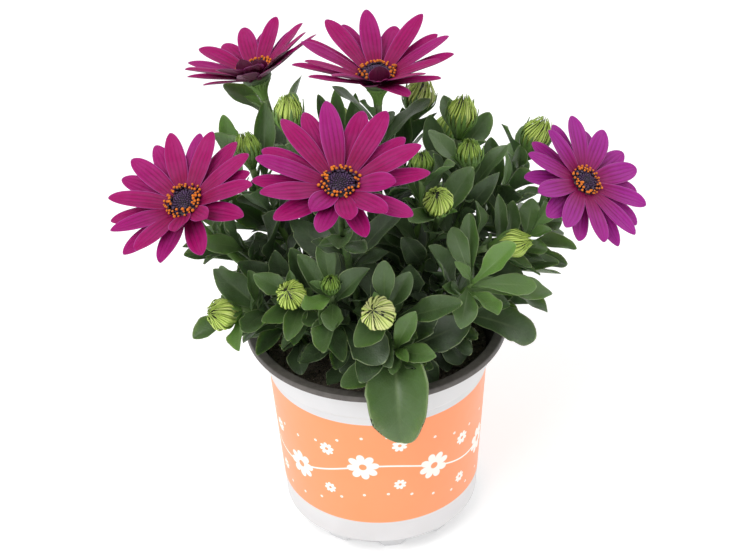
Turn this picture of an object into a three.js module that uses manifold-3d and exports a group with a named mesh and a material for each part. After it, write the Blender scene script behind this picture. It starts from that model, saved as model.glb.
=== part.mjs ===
// Flowering osteospermum in its nursery pot, in millimetres, +Z up.
// The origin is the centre of the pot's standing pad, so the pot stands on the plane z = 0.
//
// The plant is a set of leafy stems that stand in holes in the soil. Each carries a bloom, a bud or only
// leaves. Blooms, buds and stems are laid first, then the leaves one after another: a leaf that would touch
// what is already there is turned or shortened until it is clear, and is left out if no place is found.

import * as THREE from 'three';
import { mergeVertices } from 'three/addons/utils/BufferGeometryUtils.js';
import Module from 'manifold-3d';

const wasm = await Module();
wasm.setup();

// ---------------------------------------------------------------- pot and soil

const POT_HEIGHT = 105;
const POT_SIDES = 28;
const WALL = 1.1;
const RIM_RADIUS = 60;
const RIM_DROP = 2.7;           // how far the rim's lip turns down
const TAPER = 0.4;              // slant of the lip and of the rim's underside
const MOUTH_RADIUS = 55;        // inner edge of the rim
const SHOULDER_HEIGHT = 86;     // stacking shoulder, where the wall steps out under the rim
const SHOULDER_STEP = 1.6;
const BELT_HEIGHT = 9;          // where the wall steps in to the foot
const BELT_RADIUS = 45.3;
const SHOULDER_RADIUS = 50.7;
const FOOT_RADIUS = 38.5;
const FOOT_WIDTH = 1.4;
const FLOOR_HEIGHT = 3;         // underside of the floor, between the feet and the pad
const PAD_RADIUS = 11;
const FEET = 9;
const NOTCH_ANGLE = 24;         // degrees of the foot ring cut away between two feet
const NOTCH_HEIGHT = 2.8;
const NOTCH_DEPTH = 8;
const FIRST_NOTCH = -64;        // degrees from +X
const DRAINS = 6;
const DRAIN_RADIUS = 4;
const DRAIN_RING = 24;
const DRAIN_SIDES = 6;

const GAP = 0.35;               // clearance between two pieces that touch
const SOIL_HEIGHT = 92;
const SOIL_CROWN = 2;
const SOIL_SIDES = 20;
const HOLE_DEPTH = 8;
const HOLE_SIDES = 4;

// ---------------------------------------------------------------- plant

const STEM_SIDES = 5;
const STEM_STEPS = 4;
const STEM_RADIUS = { bloom: 1.7, bud: 1.45, tuft: 1.5 };
const STEM_LEAN = 0.06;         // how far its lower half leans out, as a share of the way out to its tip
const STEM_RISE = 0.5;          // how much of its rise the lower half takes
const STEM_AIM = 0.35;          // share of its rise over which the upper half turns to face like the head
const STEM_FOOT = 1.12;         // thickness of a stem at its foot and at its neck, as shares of its radius
const STEM_NECK = 0.88;
const STEM_SPREAD = 0.38;       // a stem's foot lies this share of the way out to its tip

// Rays stand in two ranks. Those of the upper rank start a step above the lower ones and at a steeper tilt.
const RAYS = 20;
const RAY_START = 1;            // distance of a ray's hidden root from the bloom's axis
const RANK_STEP = 1;
const RANK_FLOOR = -0.6;        // height of the lower rank's roots
const RANK_TILT = [1, 8];       // degrees added to the bloom's lift in each rank
const RANK_LENGTH = [0.97, 1];
const RAY_SCATTER = 0.5;        // unevenness of the spacing, as a share of it
const RAY_BEND = [-2, 12];      // degrees between the root and the tip
const RAY_ROLL = [-3, 3];
const RAY_STRETCH = [0.95, 1.05];
const RAY_WIDTH = [9, 10.2];
const RAY_COVER = 0.2;          // how deep the upper rays' faces lie in the receptacle
const RAY_THICKNESS = 0.9;
const RAY_OUTLINE = [[0.42, 0.88], [0.84, 0.8]];
const RECEPTACLE_RADIUS = 7;
const RECEPTACLE_BOTTOM = -1.3;
const DISC_RADIUS = 8;
const DISC_HEIGHT = 4.4;
const FLORETS = 10;

const CUP_SIDES = 2 * STEM_SIDES;
const CUP_HEIGHT = 4.5;         // cup of bracts under a bloom
const CUP_RADIUS = 6.2;
const CUP_WAIST = 4.4;
const CUP_TOOTH = 1.8;
const NECK = 8.5;               // from the end of a bloom's stem to the middle of its head
const BUD_NECK = 0.8;           // the same for a bud, as a share of its height
const BRACT_LINE = 0.3;         // share of a bud's height where its bracts end and the furled rays show
const BRACT_RISE = 0.22;        // share of its height that the bracts' points stand above that line
const BRACT_GAP = 0.5;

const LEAF_THICKNESS = 1.1;
const BROAD_WIDTH = 0.4;        // widths as shares of the length
const NARROW_WIDTH = 0.38;
const BROAD_LEAF = [[0, 0.1], [0.38, 0.5], [0.6, 1], [0.66, 0.88], [0.86, 0.76]];
const NARROW_LEAF = [[0, 0.12], [0.48, 0.84], [0.82, 0.86]];
const BROAD_LENGTH = 36;        // leaves longer than this get the broad, toothed outline
const GOLDEN_ANGLE = 137.5;
const NEXT_STEM_TURN = 60;      // turn of one stem's spiral against the one before it
const TURN_SCATTER = 20;
const LEAN_SCATTER = 10;
const LENGTH_SCATTER = 0.24;
const LEAF_BEND = [34, 16];     // of the lowest and the highest leaf
const BEND_SCATTER = 24;

const ROUNDS = 6;
const SAMPLE_STEP = 3;          // spacing of the points that stand for a blade when leaves are laid
const CELL = 4;                 // side of the cubes in which those points are looked up
const CLEAR_OF_OTHERS = 3.5;    // least spacing of such points on two different stems
const CLEAR_OF_SISTERS = 2.6;   // and on two leaves of one stem
const CLEAR_OF_RODS = 1.3;      // clearance of a leaf's middle plane to a stem or bud
const CLEAR_OF_RIM = 3;
const CLEAR_OF_SOIL = 2;
const STALK = 0.35;             // share of a leaf's length in which it may touch its sisters
const TURNS = [0, 14, -14, 28, -28, 42, -42, 58, -58, 80, -80];
const TILTS = [0, 12, -12, 24];
const SCALES = [1, 0.84, 0.7, 0.58];

// at: middle of the head, or tip of a tuft. facing: the way it looks. ray: length of the rays from the
// axis. lift: angle of the rays to the head's plane. phase: azimuth of the first ray. short: where rays
// are shorter.
const BLOOMS = [
  { name: 'left', at: [-80, -20, 182], facing: [-32, -31, 90], ray: 35.5, lift: 13, phase: 4, seed: 11,
    short: { 310: 0.8, 265: 0.8 } },
  { name: 'back', at: [-50, 52, 203], facing: [-27, 20, 96], ray: 34, lift: 23, phase: 8, seed: 23,
    short: { 270: 0.8, 330: 0.8 } },
  { name: 'top', at: [4, 22, 216], facing: [0, 5, 100], ray: 39, lift: 22, phase: 2, seed: 31,
    short: { 265: 0.72, 345: 0.8 } },
  { name: 'front', at: [-13, -58, 213], facing: [3, -33, 94], ray: 38, lift: 14, phase: 5, seed: 47,
    short: { 238: 0.6, 256: 0.84, 274: 0.78, 292: 0.84, 310: 0.84, 346: 0.64 } },
  { name: 'right', at: [93, 0, 174], facing: [52, -36, 78], ray: 32, lift: 2, phase: 12, seed: 59,
    short: { 133: 0.85 } },
];

const BUDS = [
  { name: 'tall', at: [-35, 5, 213], facing: [0, 0, 1], radius: 6, height: 16 },
  { name: 'tall_left', at: [-54, 5, 196], facing: [-1, 0, 6], radius: 5.5, height: 14 },
  { name: 'behind_top', at: [23, 46, 195], facing: [1, 0, 4], radius: 7, height: 17 },
  { name: 'high_right', at: [41, 24, 198], facing: [1, -1, 9], radius: 6.3, height: 18 },
  { name: 'young_right', at: [43, -1, 193], facing: [0, 0, 1], radius: 5.3, height: 12 },
  { name: 'far_right', at: [75, 30, 182], facing: [4, 0, 9], radius: 6.5, height: 18 },
  { name: 'middle', at: [28, -30, 187], facing: [0, -5, 8], radius: 6.5, height: 15 },
  { name: 'young_middle', at: [22, -8, 193], facing: [0, 0, 1], radius: 4.6, height: 11 },
  { name: 'low_right', at: [62, -20, 157], facing: [10, -2, 3], radius: 6.4, height: 16 },
  { name: 'front_left', at: [-36, -50, 155], facing: [-1, -8, 6], radius: 6.6, height: 14 },
  { name: 'far_left', at: [-68, -35, 135], facing: [-6, -6, 3], radius: 7.2, height: 15 },
  { name: 'front', at: [1, -62, 152], facing: [-2, -8, 5], radius: 7.6, height: 16 },
  { name: 'young_front', at: [-19, -50, 160], facing: [0, -1, 3], radius: 3.6, height: 9 },
  { name: 'behind', at: [-14, 60, 174], facing: [-1, 3, 8], radius: 6.2, height: 16 },
  { name: 'behind_right', at: [36, 68, 164], facing: [2, 4, 6], radius: 6.2, height: 16 },
];

const TUFTS = [
  { name: 'right_front', at: [42, -42, 152], facing: [3, -5, 8] },
  { name: 'right', at: [70, -2, 150], facing: [6, 0, 7] },
  { name: 'front', at: [8, -48, 122], facing: [0, -5, 7] },
  { name: 'left', at: [-66, -6, 156], facing: [-6, -1, 7] },
  { name: 'left_behind', at: [-58, 34, 150], facing: [-5, 4, 7] },
  { name: 'behind', at: [10, 66, 150], facing: [1, 6, 7] },
  { name: 'right_behind', at: [60, 36, 148], facing: [5, 4, 7] },
];

// leaves: how many are tried. from, to: the stretch of the stem that carries them. reach, end: lengths
// of the lowest and the highest. lean, close: their angles to the stem.
const LEAF_RULES = {
  bloom: { leaves: 6, from: 0.42, to: 0.88, reach: 44, end: 30, lean: 48, close: 30 },
  bud: { leaves: 6, from: 0.46, to: 0.96, reach: 42, end: 27, lean: 46, close: 26 },
  tuft: { leaves: 6, from: 0.42, to: 1, reach: 42, end: 26, lean: 52, close: 26 },
};

// How many of its lowest leaves a stem has lost.
const BARE = {
  bloom_left: 4, bud_front_left: 1, bud_far_left: 3, bud_young_front: 3, tuft_front: 1, tuft_right_front: 3,
};

// Leaves that give the plant its outline: the stem they grow on, where on it, and where their tips lie.
const CHOSEN_LEAVES = [
  { stem: 'tuft_front', share: 0.8, tip: [9, -68, 86], up: [0, -1, 1], bend: 100, width: 28 },
  { stem: 'tuft_right_front', share: 0.58, tip: [71, -28, 111], up: [1, -1, 3], bend: 40, width: 20 },
  { stem: 'bud_tall_left', share: 0.84, tip: [-46, 18, 211], up: [0, -1, 0.4], bend: 8, width: 10 },
  { stem: 'tuft_left_behind', share: 1, tip: [-65, 28, 199], up: [0, -1, 0.6], bend: 26, width: 10 },
  { stem: 'bud_young_front', share: 0.62, tip: [3, -61, 125], up: [0, -1, 1.4], bend: 50, width: 18 },
  { stem: 'bud_front_left', share: 0.62, tip: [-15, -66, 130], up: [0.3, -1, 1], bend: 40, width: 11 },
  { stem: 'bud_far_left', share: 0.5, tip: [-53, -42, 117], up: [-0.5, -1, 1.4], bend: 40, width: 9 },
  { stem: 'bud_front_left', share: 0.8, tip: [-38, -66, 142], up: [0, -1, 1], bend: 45, width: 10 },
  { stem: 'bud_far_left', share: 0.66, tip: [-58, -50, 136], up: [-0.3, -1, 1.4], bend: 50, width: 12 },
  { stem: 'bud_front_left', share: 0.7, tip: [-49, -58, 147], up: [0, -1, 1.4], bend: 21, width: 9 },
  { stem: 'bud_far_left', share: 0.76, tip: [-71, -20, 149], up: [0.6, -1, 0.3], bend: 30, width: 14 },
  { stem: 'bud_far_left', share: 0.9, tip: [-55, -34, 157], up: [1, -0.6, 0.2], bend: 20, width: 9 },
  { stem: 'tuft_left', share: 0.86, tip: [-74, -22, 164], up: [0, -1, 1.2], bend: 44, width: 10 },
  { stem: 'tuft_left', share: 0.5, tip: [-43, -26, 162], up: [0, -1, 0.4], bend: 20, width: 11 },
  { stem: 'bud_young_front', share: 0.84, tip: [-33, -36, 166], up: [0.3, -1, 0.5], bend: 20, width: 10 },
  { stem: 'bud_young_front', share: 0.93, tip: [-22, -36, 174], up: [0.2, -1, 0.4], bend: 16, width: 9 },
  { stem: 'bud_young_front', share: 0.88, tip: [-2, -50, 167], up: [-0.5, -1, 0.9], bend: 30, width: 10.5 },
  { stem: 'bud_young_front', share: 0.9, tip: [-19, -64, 145], up: [0, -1, 1], bend: 50, width: 10 },
  { stem: 'bud_front', share: 0.6, tip: [37, -58, 153], up: [0, -1, 1.2], bend: 24, width: 11.5 },
  { stem: 'tuft_right_front', share: 0.94, tip: [36, -56, 138], up: [0, -1, 1], bend: 45, width: 12 },
  { stem: 'tuft_right_front', share: 0.97, tip: [70, -38, 146], up: [0.3, -1, 1.6], bend: 30, width: 11 },
  { stem: 'tuft_right_front', share: 0.88, tip: [78, -26, 134], up: [0.3, -1, 1.6], bend: 30, width: 12 },
  { stem: 'tuft_right_front', share: 0.78, tip: [59, -32, 133], up: [0.5, -1, 1.6], bend: 30, width: 12 },
  { stem: 'tuft_right', share: 0.7, tip: [83, -4, 135], up: [0, -1, 1.4], bend: 25, width: 9 },
  { stem: 'tuft_right', share: 0.88, tip: [77, -10, 146], up: [0, -1, 1.4], bend: 25, width: 8 },
  { stem: 'tuft_right', share: 0.96, tip: [79, -8, 155], up: [0, -1, 1.4], bend: 25, width: 6 },
  { stem: 'tuft_front', share: 0.6, tip: [26, -42, 98], up: [0.3, -1, 0.7], bend: 50, width: 16 },
  { stem: 'tuft_right_front', share: 0.42, tip: [38, -32, 102], up: [0.4, -1, 0.7], bend: 45, width: 16 },
  { stem: 'bud_far_left', share: 0.38, tip: [-34, -36, 101], up: [-0.2, -1, 0.7], bend: 40, width: 11 },
  { stem: 'bud_front', share: 0.4, tip: [-17, -44, 108], up: [-0.2, -1, 0.7], bend: 40, width: 12 },
  { stem: 'bud_high_right', share: 0.88, tip: [54, 32, 193], up: [0, -1, 0.4], bend: 8, width: 11 },
  { stem: 'bud_far_right', share: 0.74, tip: [54, 24, 185], up: [0, -1, 0.5], bend: 24, width: 11 },
  { stem: 'bud_far_right', share: 0.94, tip: [66, 16, 185], up: [0, -1, 0.5], bend: 20, width: 8 },
  { stem: 'bud_young_right', share: 0.72, tip: [56, -4, 184], up: [0, -1, 1], bend: 48, width: 9 },
  { stem: 'tuft_right', share: 0.74, tip: [55, -12, 178], up: [0.5, -1, 0.2], bend: 14, width: 7 },
  { stem: 'bud_high_right', share: 0.76, tip: [27, 22, 199], up: [0, -1, 0.4], bend: 20, width: 11 },
  { stem: 'tuft_left_behind', share: 0.76, tip: [-68, 6, 169], up: [0, -1, 1], bend: 34, width: 13 },
  { stem: 'bud_middle', share: 0.4, tip: [15, -42, 163], up: [0, -1, 0.5], bend: 20, width: 12.5 },
  { stem: 'bud_front', share: 0.5, tip: [2, -40, 163], up: [0, -1, 0.5], bend: 20, width: 11.5 },
  { stem: 'tuft_right_front', share: 1, tip: [34, -28, 172], up: [0, -1, 0.5], bend: 26, width: 10 },
  { stem: 'tuft_right_front', share: 0.94, tip: [42, -22, 175], up: [0, -1, 0.5], bend: 24, width: 9 },
  { stem: 'tuft_right', share: 0.82, tip: [62, -4, 169], up: [0, -1, 0.5], bend: 10, width: 9 },
  { stem: 'tuft_right', share: 0.96, tip: [71, 2, 166], up: [0, -1, 0.5], bend: 20, width: 10.5 },
  { stem: 'bud_middle', share: 0.62, tip: [12, -30, 169], up: [0, -1, 0.5], bend: 24, width: 11 },
  { stem: 'bud_front_left', share: 0.58, tip: [-36, -32, 167], up: [0, -1, 0.5], bend: 8, width: 11 },
  { stem: 'tuft_left', share: 0.54, tip: [-60, -24, 155], up: [0, -1, 0.8], bend: 38, width: 11 },
  { stem: 'bud_behind', share: 0.82, tip: [-23, 48, 196], up: [0, -1, 0.4], bend: 24, width: 8 },
  { stem: 'bud_behind', share: 0.8, tip: [-15, 58, 193], up: [0, -1, 0.4], bend: 20, width: 8 },
  { stem: 'bud_behind', share: 0.84, tip: [-6, 50, 195], up: [0, -1, 0.4], bend: 20, width: 8 },
  { stem: 'bud_behind_top', share: 0.8, tip: [15, 34, 196], up: [0, -1, 0.4], bend: 20, width: 8 },
  { stem: 'bloom_right', share: 0.78, tip: [85, 8, 149], up: [0, -1, 0.6], bend: 20, width: 8 },
];

// ---------------------------------------------------------------- colours

const paint = (color, roughness) => new THREE.MeshStandardMaterial({ color, roughness, metalness: 0 });
const POT_WHITE = paint(0xf2f2ee, 0.4);
const PEAT = paint(0x2b2019, 0.95);
const LEAF_GREEN = paint(0x3f6b2a, 0.55);
const RAY_MAGENTA = paint(0x9c1470, 0.5);
const DISC_VIOLET = paint(0x35183f, 0.7);
const BUD_GREEN = paint(0x9fae4a, 0.6);

// ---------------------------------------------------------------- solids

const radians = THREE.MathUtils.degToRad;
const vector = (list) => new THREE.Vector3(...list);

/** A number from 0 to 1 that depends on n alone. */
function draw(n) {
  const wave = Math.sin(n * 12.9898) * 43758.5453;
  return wave - Math.floor(wave);
}

/** A number drawn between two bounds. */
const drawIn = ([low, high], n) => low + (high - low) * draw(n);

/** A number drawn up to half of `spread` away from zero. */
const scatter = (spread, n) => spread * (draw(n) - 0.5);

/** Closed three.js geometry as a manifold solid, with its faces turned outwards. */
function solidOf(geometry) {
  geometry.deleteAttribute('normal');
  geometry.deleteAttribute('uv');
  const merged = mergeVertices(geometry, 1e-4);
  const vertProperties = Float32Array.from(merged.attributes.position.array);
  const kept = [];
  const index = merged.index.array;
  for (let i = 0; i < index.length; i += 3) {
    const [a, b, c] = [index[i], index[i + 1], index[i + 2]];
    if (a !== b && b !== c && c !== a) kept.push(a, b, c);
  }
  if (signedVolume(vertProperties, kept) < 0) kept.reverse();
  return new wasm.Manifold(new wasm.Mesh({ numProp: 3, vertProperties, triVerts: Uint32Array.from(kept) }));
}

/** Six times the volume that the triangles enclose, negative where they face inwards. */
function signedVolume(points, triangles) {
  const corner = (i) => new THREE.Vector3().fromArray(points, 3 * i);
  let total = 0;
  for (let i = 0; i < triangles.length; i += 3) {
    const [a, b, c] = [0, 1, 2].map((k) => corner(triangles[i + k]));
    total += a.dot(b.cross(c));
  }
  return total;
}

const fuse = (solids) => solids.reduce((sum, solid) => sum.add(solid));

/** Named mesh of a manifold solid. */
function meshOf(name, solid, material) {
  const { vertProperties, triVerts } = solid.getMesh();
  const geometry = new THREE.BufferGeometry();
  geometry.setAttribute('position', new THREE.BufferAttribute(vertProperties, 3));
  geometry.setIndex(new THREE.BufferAttribute(triVerts, 1));
  geometry.computeVertexNormals();
  const mesh = new THREE.Mesh(geometry, material);
  mesh.name = name;
  return mesh;
}

/** A profile of [radius, height] points turned round the Z axis. */
function turned(profile, sides) {
  const points = profile.map(([radius, height]) => new THREE.Vector2(radius, height));
  return new THREE.LatheGeometry(points, sides).rotateX(Math.PI / 2);
}

/** Upright cylinder that starts at a point. */
function cylinder(radius, height, sides, [x, y, z]) {
  return new THREE.CylinderGeometry(radius, radius, height, sides)
    .rotateX(Math.PI / 2).translate(x, y, z + height / 2);
}

/**
 * Closed body through rings of points, with a point at each end. A ring has as many points as the one
 * before it or twice as many, in the same turning order.
 */
function ringBody(rings, start, end) {
  const points = [start, ...rings.flat(), end];
  const faces = [];
  let base = 1;
  rings.forEach((ring, r) => {
    const sides = ring.length;
    const next = base + sides;
    for (let k = 0; k < sides; k += 1) {
      const [a, b] = [base + k, base + (k + 1) % sides];
      if (r === 0) faces.push(0, b, a);
      if (r === rings.length - 1) faces.push(points.length - 1, a, b);
      else if (rings[r + 1].length === sides) {
        faces.push(a, b, next + (k + 1) % sides, a, next + (k + 1) % sides, next + k);
      } else {
        const [c, d, e] = [0, 1, 2].map((i) => next + (2 * k + i) % (2 * sides));
        faces.push(a, d, c, a, b, d, b, e, d);
      }
    }
    base = next;
  });
  const geometry = new THREE.BufferGeometry();
  const numbers = points.flatMap((point) => point.toArray());
  geometry.setAttribute('position', new THREE.Float32BufferAttribute(numbers, 3));
  geometry.setIndex(faces);
  return solidOf(geometry);
}

// ---------------------------------------------------------------- blades: rays and leaves

/** Middle line of a blade at share t: it starts along `along` and bends away from `up` on a round arc. */
function bladeAt(blade, t) {
  const bend = radians(Math.abs(blade.bend) < 0.01 ? 0.01 : blade.bend);
  const turn = bend * t;
  const reach = Math.sin(turn) / bend;
  const drop = (1 - Math.cos(turn)) / bend;
  const centre = blade.root.clone()
    .addScaledVector(blade.along, blade.length * reach)
    .addScaledVector(blade.up, -blade.length * drop);
  const normal = blade.up.clone().multiplyScalar(Math.cos(turn))
    .addScaledVector(blade.along, Math.sin(turn));
  return { centre, normal };
}

/** Half width of a blade's outline at share t, straight between its stations and pointed at the tip. */
function halfWidthAt(outline, t) {
  const stations = [...outline, [1, 0]];
  const after = stations.findIndex(([place]) => place >= t);
  if (after <= 0) return stations[0][1] / 2;
  const [t0, w0] = stations[after - 1];
  const [t1, w1] = stations[after];
  return (w0 + (w1 - w0) * (t - t0) / (t1 - t0)) / 2;
}

/** Closed blade: left edge, right edge and the keel of its midrib at every station, and a pointed tip. */
function bladeSolid(blade) {
  const side = new THREE.Vector3().crossVectors(blade.along, blade.up);
  const rings = blade.outline.map(([t, width]) => {
    const { centre, normal } = bladeAt(blade, t);
    const half = 0.5 * blade.width * width;
    return [
      centre.clone().addScaledVector(side, -half),
      centre.clone().addScaledVector(side, half),
      centre.clone().addScaledVector(normal, -blade.thick),
    ];
  });
  return ringBody(rings, blade.root, bladeAt(blade, 1).centre);
}

/** Points spread over a blade's middle plane, each with its share t of the length. */
function bladePoints(blade) {
  const side = new THREE.Vector3().crossVectors(blade.along, blade.up);
  const rows = Math.ceil(blade.length / SAMPLE_STEP);
  const found = [];
  for (let i = 0; i <= rows; i += 1) {
    const t = i / rows;
    const { centre } = bladeAt(blade, t);
    const half = blade.width * halfWidthAt(blade.outline, t);
    const columns = Math.max(1, Math.ceil(half / SAMPLE_STEP));
    for (let j = -columns; j <= columns; j += 1) {
      found.push({ point: centre.clone().addScaledVector(side, half * j / columns), t });
    }
  }
  return found;
}

// ---------------------------------------------------------------- room between the leaves

const placedPoints = new Map();   // cell of space to the blade points in it
const rods = [];                  // stems and buds, as round rods

const cellOf = (point, dx = 0, dy = 0, dz = 0) =>
  [point.x, point.y, point.z].map((c, k) => Math.floor(c / CELL) + [dx, dy, dz][k]).join();

function keepPoints(blade, owner) {
  for (const { point } of bladePoints(blade)) {
    const cell = cellOf(point);
    if (!placedPoints.has(cell)) placedPoints.set(cell, []);
    placedPoints.get(cell).push({ point, owner });
  }
}

function keepRod(start, end, radius, owner) {
  rods.push({ line: new THREE.Line3(start, end), radius, owner });
}

/** True where a point lies clear of the soil, the rim and the wall. */
function clearOfPot({ x, y, z }) {
  const radius = Math.hypot(x, y);
  if (z > POT_HEIGHT + CLEAR_OF_RIM) return true;
  if (radius < MOUTH_RADIUS - CLEAR_OF_RIM - WALL) return z > SOIL_HEIGHT + SOIL_CROWN + CLEAR_OF_SOIL;
  return radius > RIM_RADIUS + CLEAR_OF_RIM;
}

function clearOfPoints(point, owner, t) {
  for (let n = 0; n < 27; n += 1) {
    const cell = cellOf(point, n % 3 - 1, Math.floor(n / 3) % 3 - 1, Math.floor(n / 9) - 1);
    const near = placedPoints.get(cell);
    for (const other of near ?? []) {
      if (other.owner === owner && t < STALK) continue;
      const least = other.owner === owner ? CLEAR_OF_SISTERS : CLEAR_OF_OTHERS;
      if (point.distanceTo(other.point) < least) return false;
    }
  }
  return true;
}

function clearOfRods(point, owner, t) {
  const nearest = new THREE.Vector3();
  return rods.every(({ line, radius, owner: other }) => {
    if (other === owner && t < STALK) return true;
    line.closestPointToPoint(point, true, nearest);
    return nearest.distanceTo(point) > radius + CLEAR_OF_RODS;
  });
}

function isClear(blade, owner) {
  return bladePoints(blade).every(({ point, t }) =>
    clearOfPot(point) && clearOfRods(point, owner, t) && clearOfPoints(point, owner, t));
}

// ---------------------------------------------------------------- stems

/** Frame of a head: +Z looks the way the stem ends, and the other axes follow the stem's last ring. */
function headFrame(curve, head) {
  const { tangents, normals, binormals } = curve.computeFrenetFrames(STEM_STEPS);
  return new THREE.Matrix4().makeBasis(normals.at(-1), binormals.at(-1), tangents.at(-1)).setPosition(head);
}

/** All leafy stems in one list, each with its curve from the soil to the underside of its head. */
function planStems() {
  const kinds = [['bloom', BLOOMS], ['bud', BUDS], ['tuft', TUFTS]];
  return kinds.flatMap(([kind, list]) => list.map((entry) => {
    const facing = vector(entry.facing).normalize();
    const head = vector(entry.at);
    const neck = { bloom: NECK, bud: BUD_NECK * entry.height, tuft: 0 }[kind];
    const top = head.clone().addScaledVector(facing, -neck);
    const out = new THREE.Vector3(head.x, head.y, 0);
    const foot = out.clone().multiplyScalar(STEM_SPREAD).setZ(SOIL_HEIGHT - HOLE_DEPTH + GAP);
    const rise = top.z - foot.z;
    const knee = foot.clone().addScaledVector(out, STEM_LEAN);
    knee.z += rise * STEM_RISE;
    const aim = top.clone().addScaledVector(facing, -rise * STEM_AIM);
    const curve = new THREE.CubicBezierCurve3(foot, knee, aim, top);
    const stem = `${kind}_${entry.name}`;
    return { ...entry, kind, facing, head, curve, stem, frame: headFrame(curve, head) };
  }));
}

/** Point on the straight stretches of the stem's middle line, at a share of its length. */
function stemPoint(curve, share) {
  const step = Math.min(Math.floor(share * STEM_STEPS), STEM_STEPS - 1);
  const [low, high] = [step, step + 1].map((i) => curve.getPointAt(i / STEM_STEPS));
  return low.lerp(high, share * STEM_STEPS - step);
}

/** Ring of points round +Z at a height. Every second one is drawn out by `tooth` and raised by `rise`. */
function ring(sides, radius, height, tooth = 0, rise = 0) {
  return Array.from({ length: sides }, (_, k) => {
    const angle = 2 * Math.PI * k / sides;
    const out = radius + (k % 2 ? tooth : 0);
    return new THREE.Vector3(out * Math.cos(angle), out * Math.sin(angle), height + (k % 2 ? rise : 0));
  });
}

/** Rings moved from a head's own frame to the plant's. */
const placeRings = (rings, frame) => (
  rings.map((points) => points.map((point) => point.applyMatrix4(frame)))
);

/** Body through rings in a head's own frame, closed at two heights on its axis. */
function headBody({ frame }, rings, bottom, top) {
  const [start, end] = [bottom, top].map((z) => new THREE.Vector3(0, 0, z).applyMatrix4(frame));
  return ringBody(placeRings(rings, frame), start, end);
}

/** Stem along its curve, a little stouter at its foot, ending in the cup of bracts if it carries a head. */
function stemSolid(plant) {
  const frames = plant.curve.computeFrenetFrames(STEM_STEPS);
  const rings = frames.tangents.flatMap((tangent, i) => {
    const share = i / STEM_STEPS;
    const frame = new THREE.Matrix4().makeBasis(frames.normals[i], frames.binormals[i], tangent)
      .setPosition(plant.curve.getPointAt(share));
    const radius = STEM_RADIUS[plant.kind] * (STEM_FOOT + (STEM_NECK - STEM_FOOT) * share);
    return placeRings([ring(STEM_SIDES, radius, 0)], frame);
  });
  const end = new THREE.Vector3(0, 0, cupFloor(plant)).applyMatrix4(plant.frame);
  return ringBody([...rings, ...placeRings(cupRings(plant), plant.frame)], plant.curve.getPoint(0), end);
}

/** Rings of the cup of pointed bracts under a head, in the head's own frame. */
function cupRings(plant) {
  const { kind, radius, height } = plant;
  const floor = cupFloor(plant);
  if (kind === 'bloom') {
    return [ring(CUP_SIDES, CUP_WAIST, floor - CUP_HEIGHT), ring(CUP_SIDES, CUP_RADIUS, floor, CUP_TOOTH)];
  }
  if (kind === 'bud') {
    const rim = ring(CUP_SIDES, radius, floor, radius * 0.04, height * BRACT_RISE);
    return [ring(CUP_SIDES, radius * 0.84, -height / 2), rim];
  }
  return [];
}

/** Height of the middle of a cup's upper side in the head's frame, or of a tuft's blunt tip. */
function cupFloor({ kind, height }) {
  if (kind === 'bloom') return RECEPTACLE_BOTTOM - GAP;
  return kind === 'bud' ? height * (BRACT_LINE - 0.5) : 1;
}

/** Stem as a chain of rods, for the leaves of other stems to keep clear of. */
function keepStem(plant) {
  const points = plant.curve.getPoints(2 * STEM_STEPS);
  for (let i = 0; i + 1 < points.length; i += 1) {
    keepRod(points[i], points[i + 1], STEM_RADIUS[plant.kind], plant.stem);
  }
}

// ---------------------------------------------------------------- blooms

/** Rays of one bloom as blades: two ranks, evenly spaced with a little seeded unevenness. */
function rayBlades(bloom) {
  const across = new THREE.Vector3(1, 0, 0).addScaledVector(bloom.facing, -bloom.facing.x).normalize();
  const upward = new THREE.Vector3().crossVectors(bloom.facing, across);
  return Array.from({ length: RAYS }, (_, i) => {
    const rank = i % 2;
    const n = bloom.seed + i;
    const azimuth = bloom.phase + 360 / RAYS * (i + scatter(RAY_SCATTER, n));
    const radial = across.clone().multiplyScalar(Math.cos(radians(azimuth)))
      .addScaledVector(upward, Math.sin(radians(azimuth)));
    const start = radians(bloom.lift + RANK_TILT[rank]);
    const along = radial.clone().multiplyScalar(Math.cos(start))
      .addScaledVector(bloom.facing, Math.sin(start));
    const flat = new THREE.Vector3().crossVectors(radial, bloom.facing);
    const up = new THREE.Vector3().crossVectors(flat, along)
      .applyAxisAngle(along, radians(drawIn(RAY_ROLL, n + 300)));
    const root = bloom.head.clone().addScaledVector(radial, RAY_START)
      .addScaledVector(bloom.facing, RANK_FLOOR + RANK_STEP * rank);
    const length = bloom.ray * RANK_LENGTH[rank] * drawIn(RAY_STRETCH, n + 400)
      * shortening(bloom.short, azimuth) - RAY_START;
    return {
      root, along, up, length,
      bend: drawIn(RAY_BEND, n + 200),
      width: drawIn(RAY_WIDTH, n + 500),
      thick: RAY_THICKNESS,
      outline: RAY_OUTLINE,
    };
  });
}

/** Share of its full length that a ray at this azimuth has, from a bloom's list of short places. */
function shortening(places, azimuth) {
  const half = 180 / RAYS;
  const hit = Object.entries(places)
    .find(([place]) => Math.abs((azimuth - place + 540) % 360 - 180) < half);
  return hit ? hit[1] : 1;
}

/** Height of the upper rays' face above the bloom's plane, at a small distance from its axis. */
function raySlope(bloom, distance) {
  return RANK_FLOOR + RANK_STEP + (distance - RAY_START) * Math.tan(radians(bloom.lift + RANK_TILT[1]));
}

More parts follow.
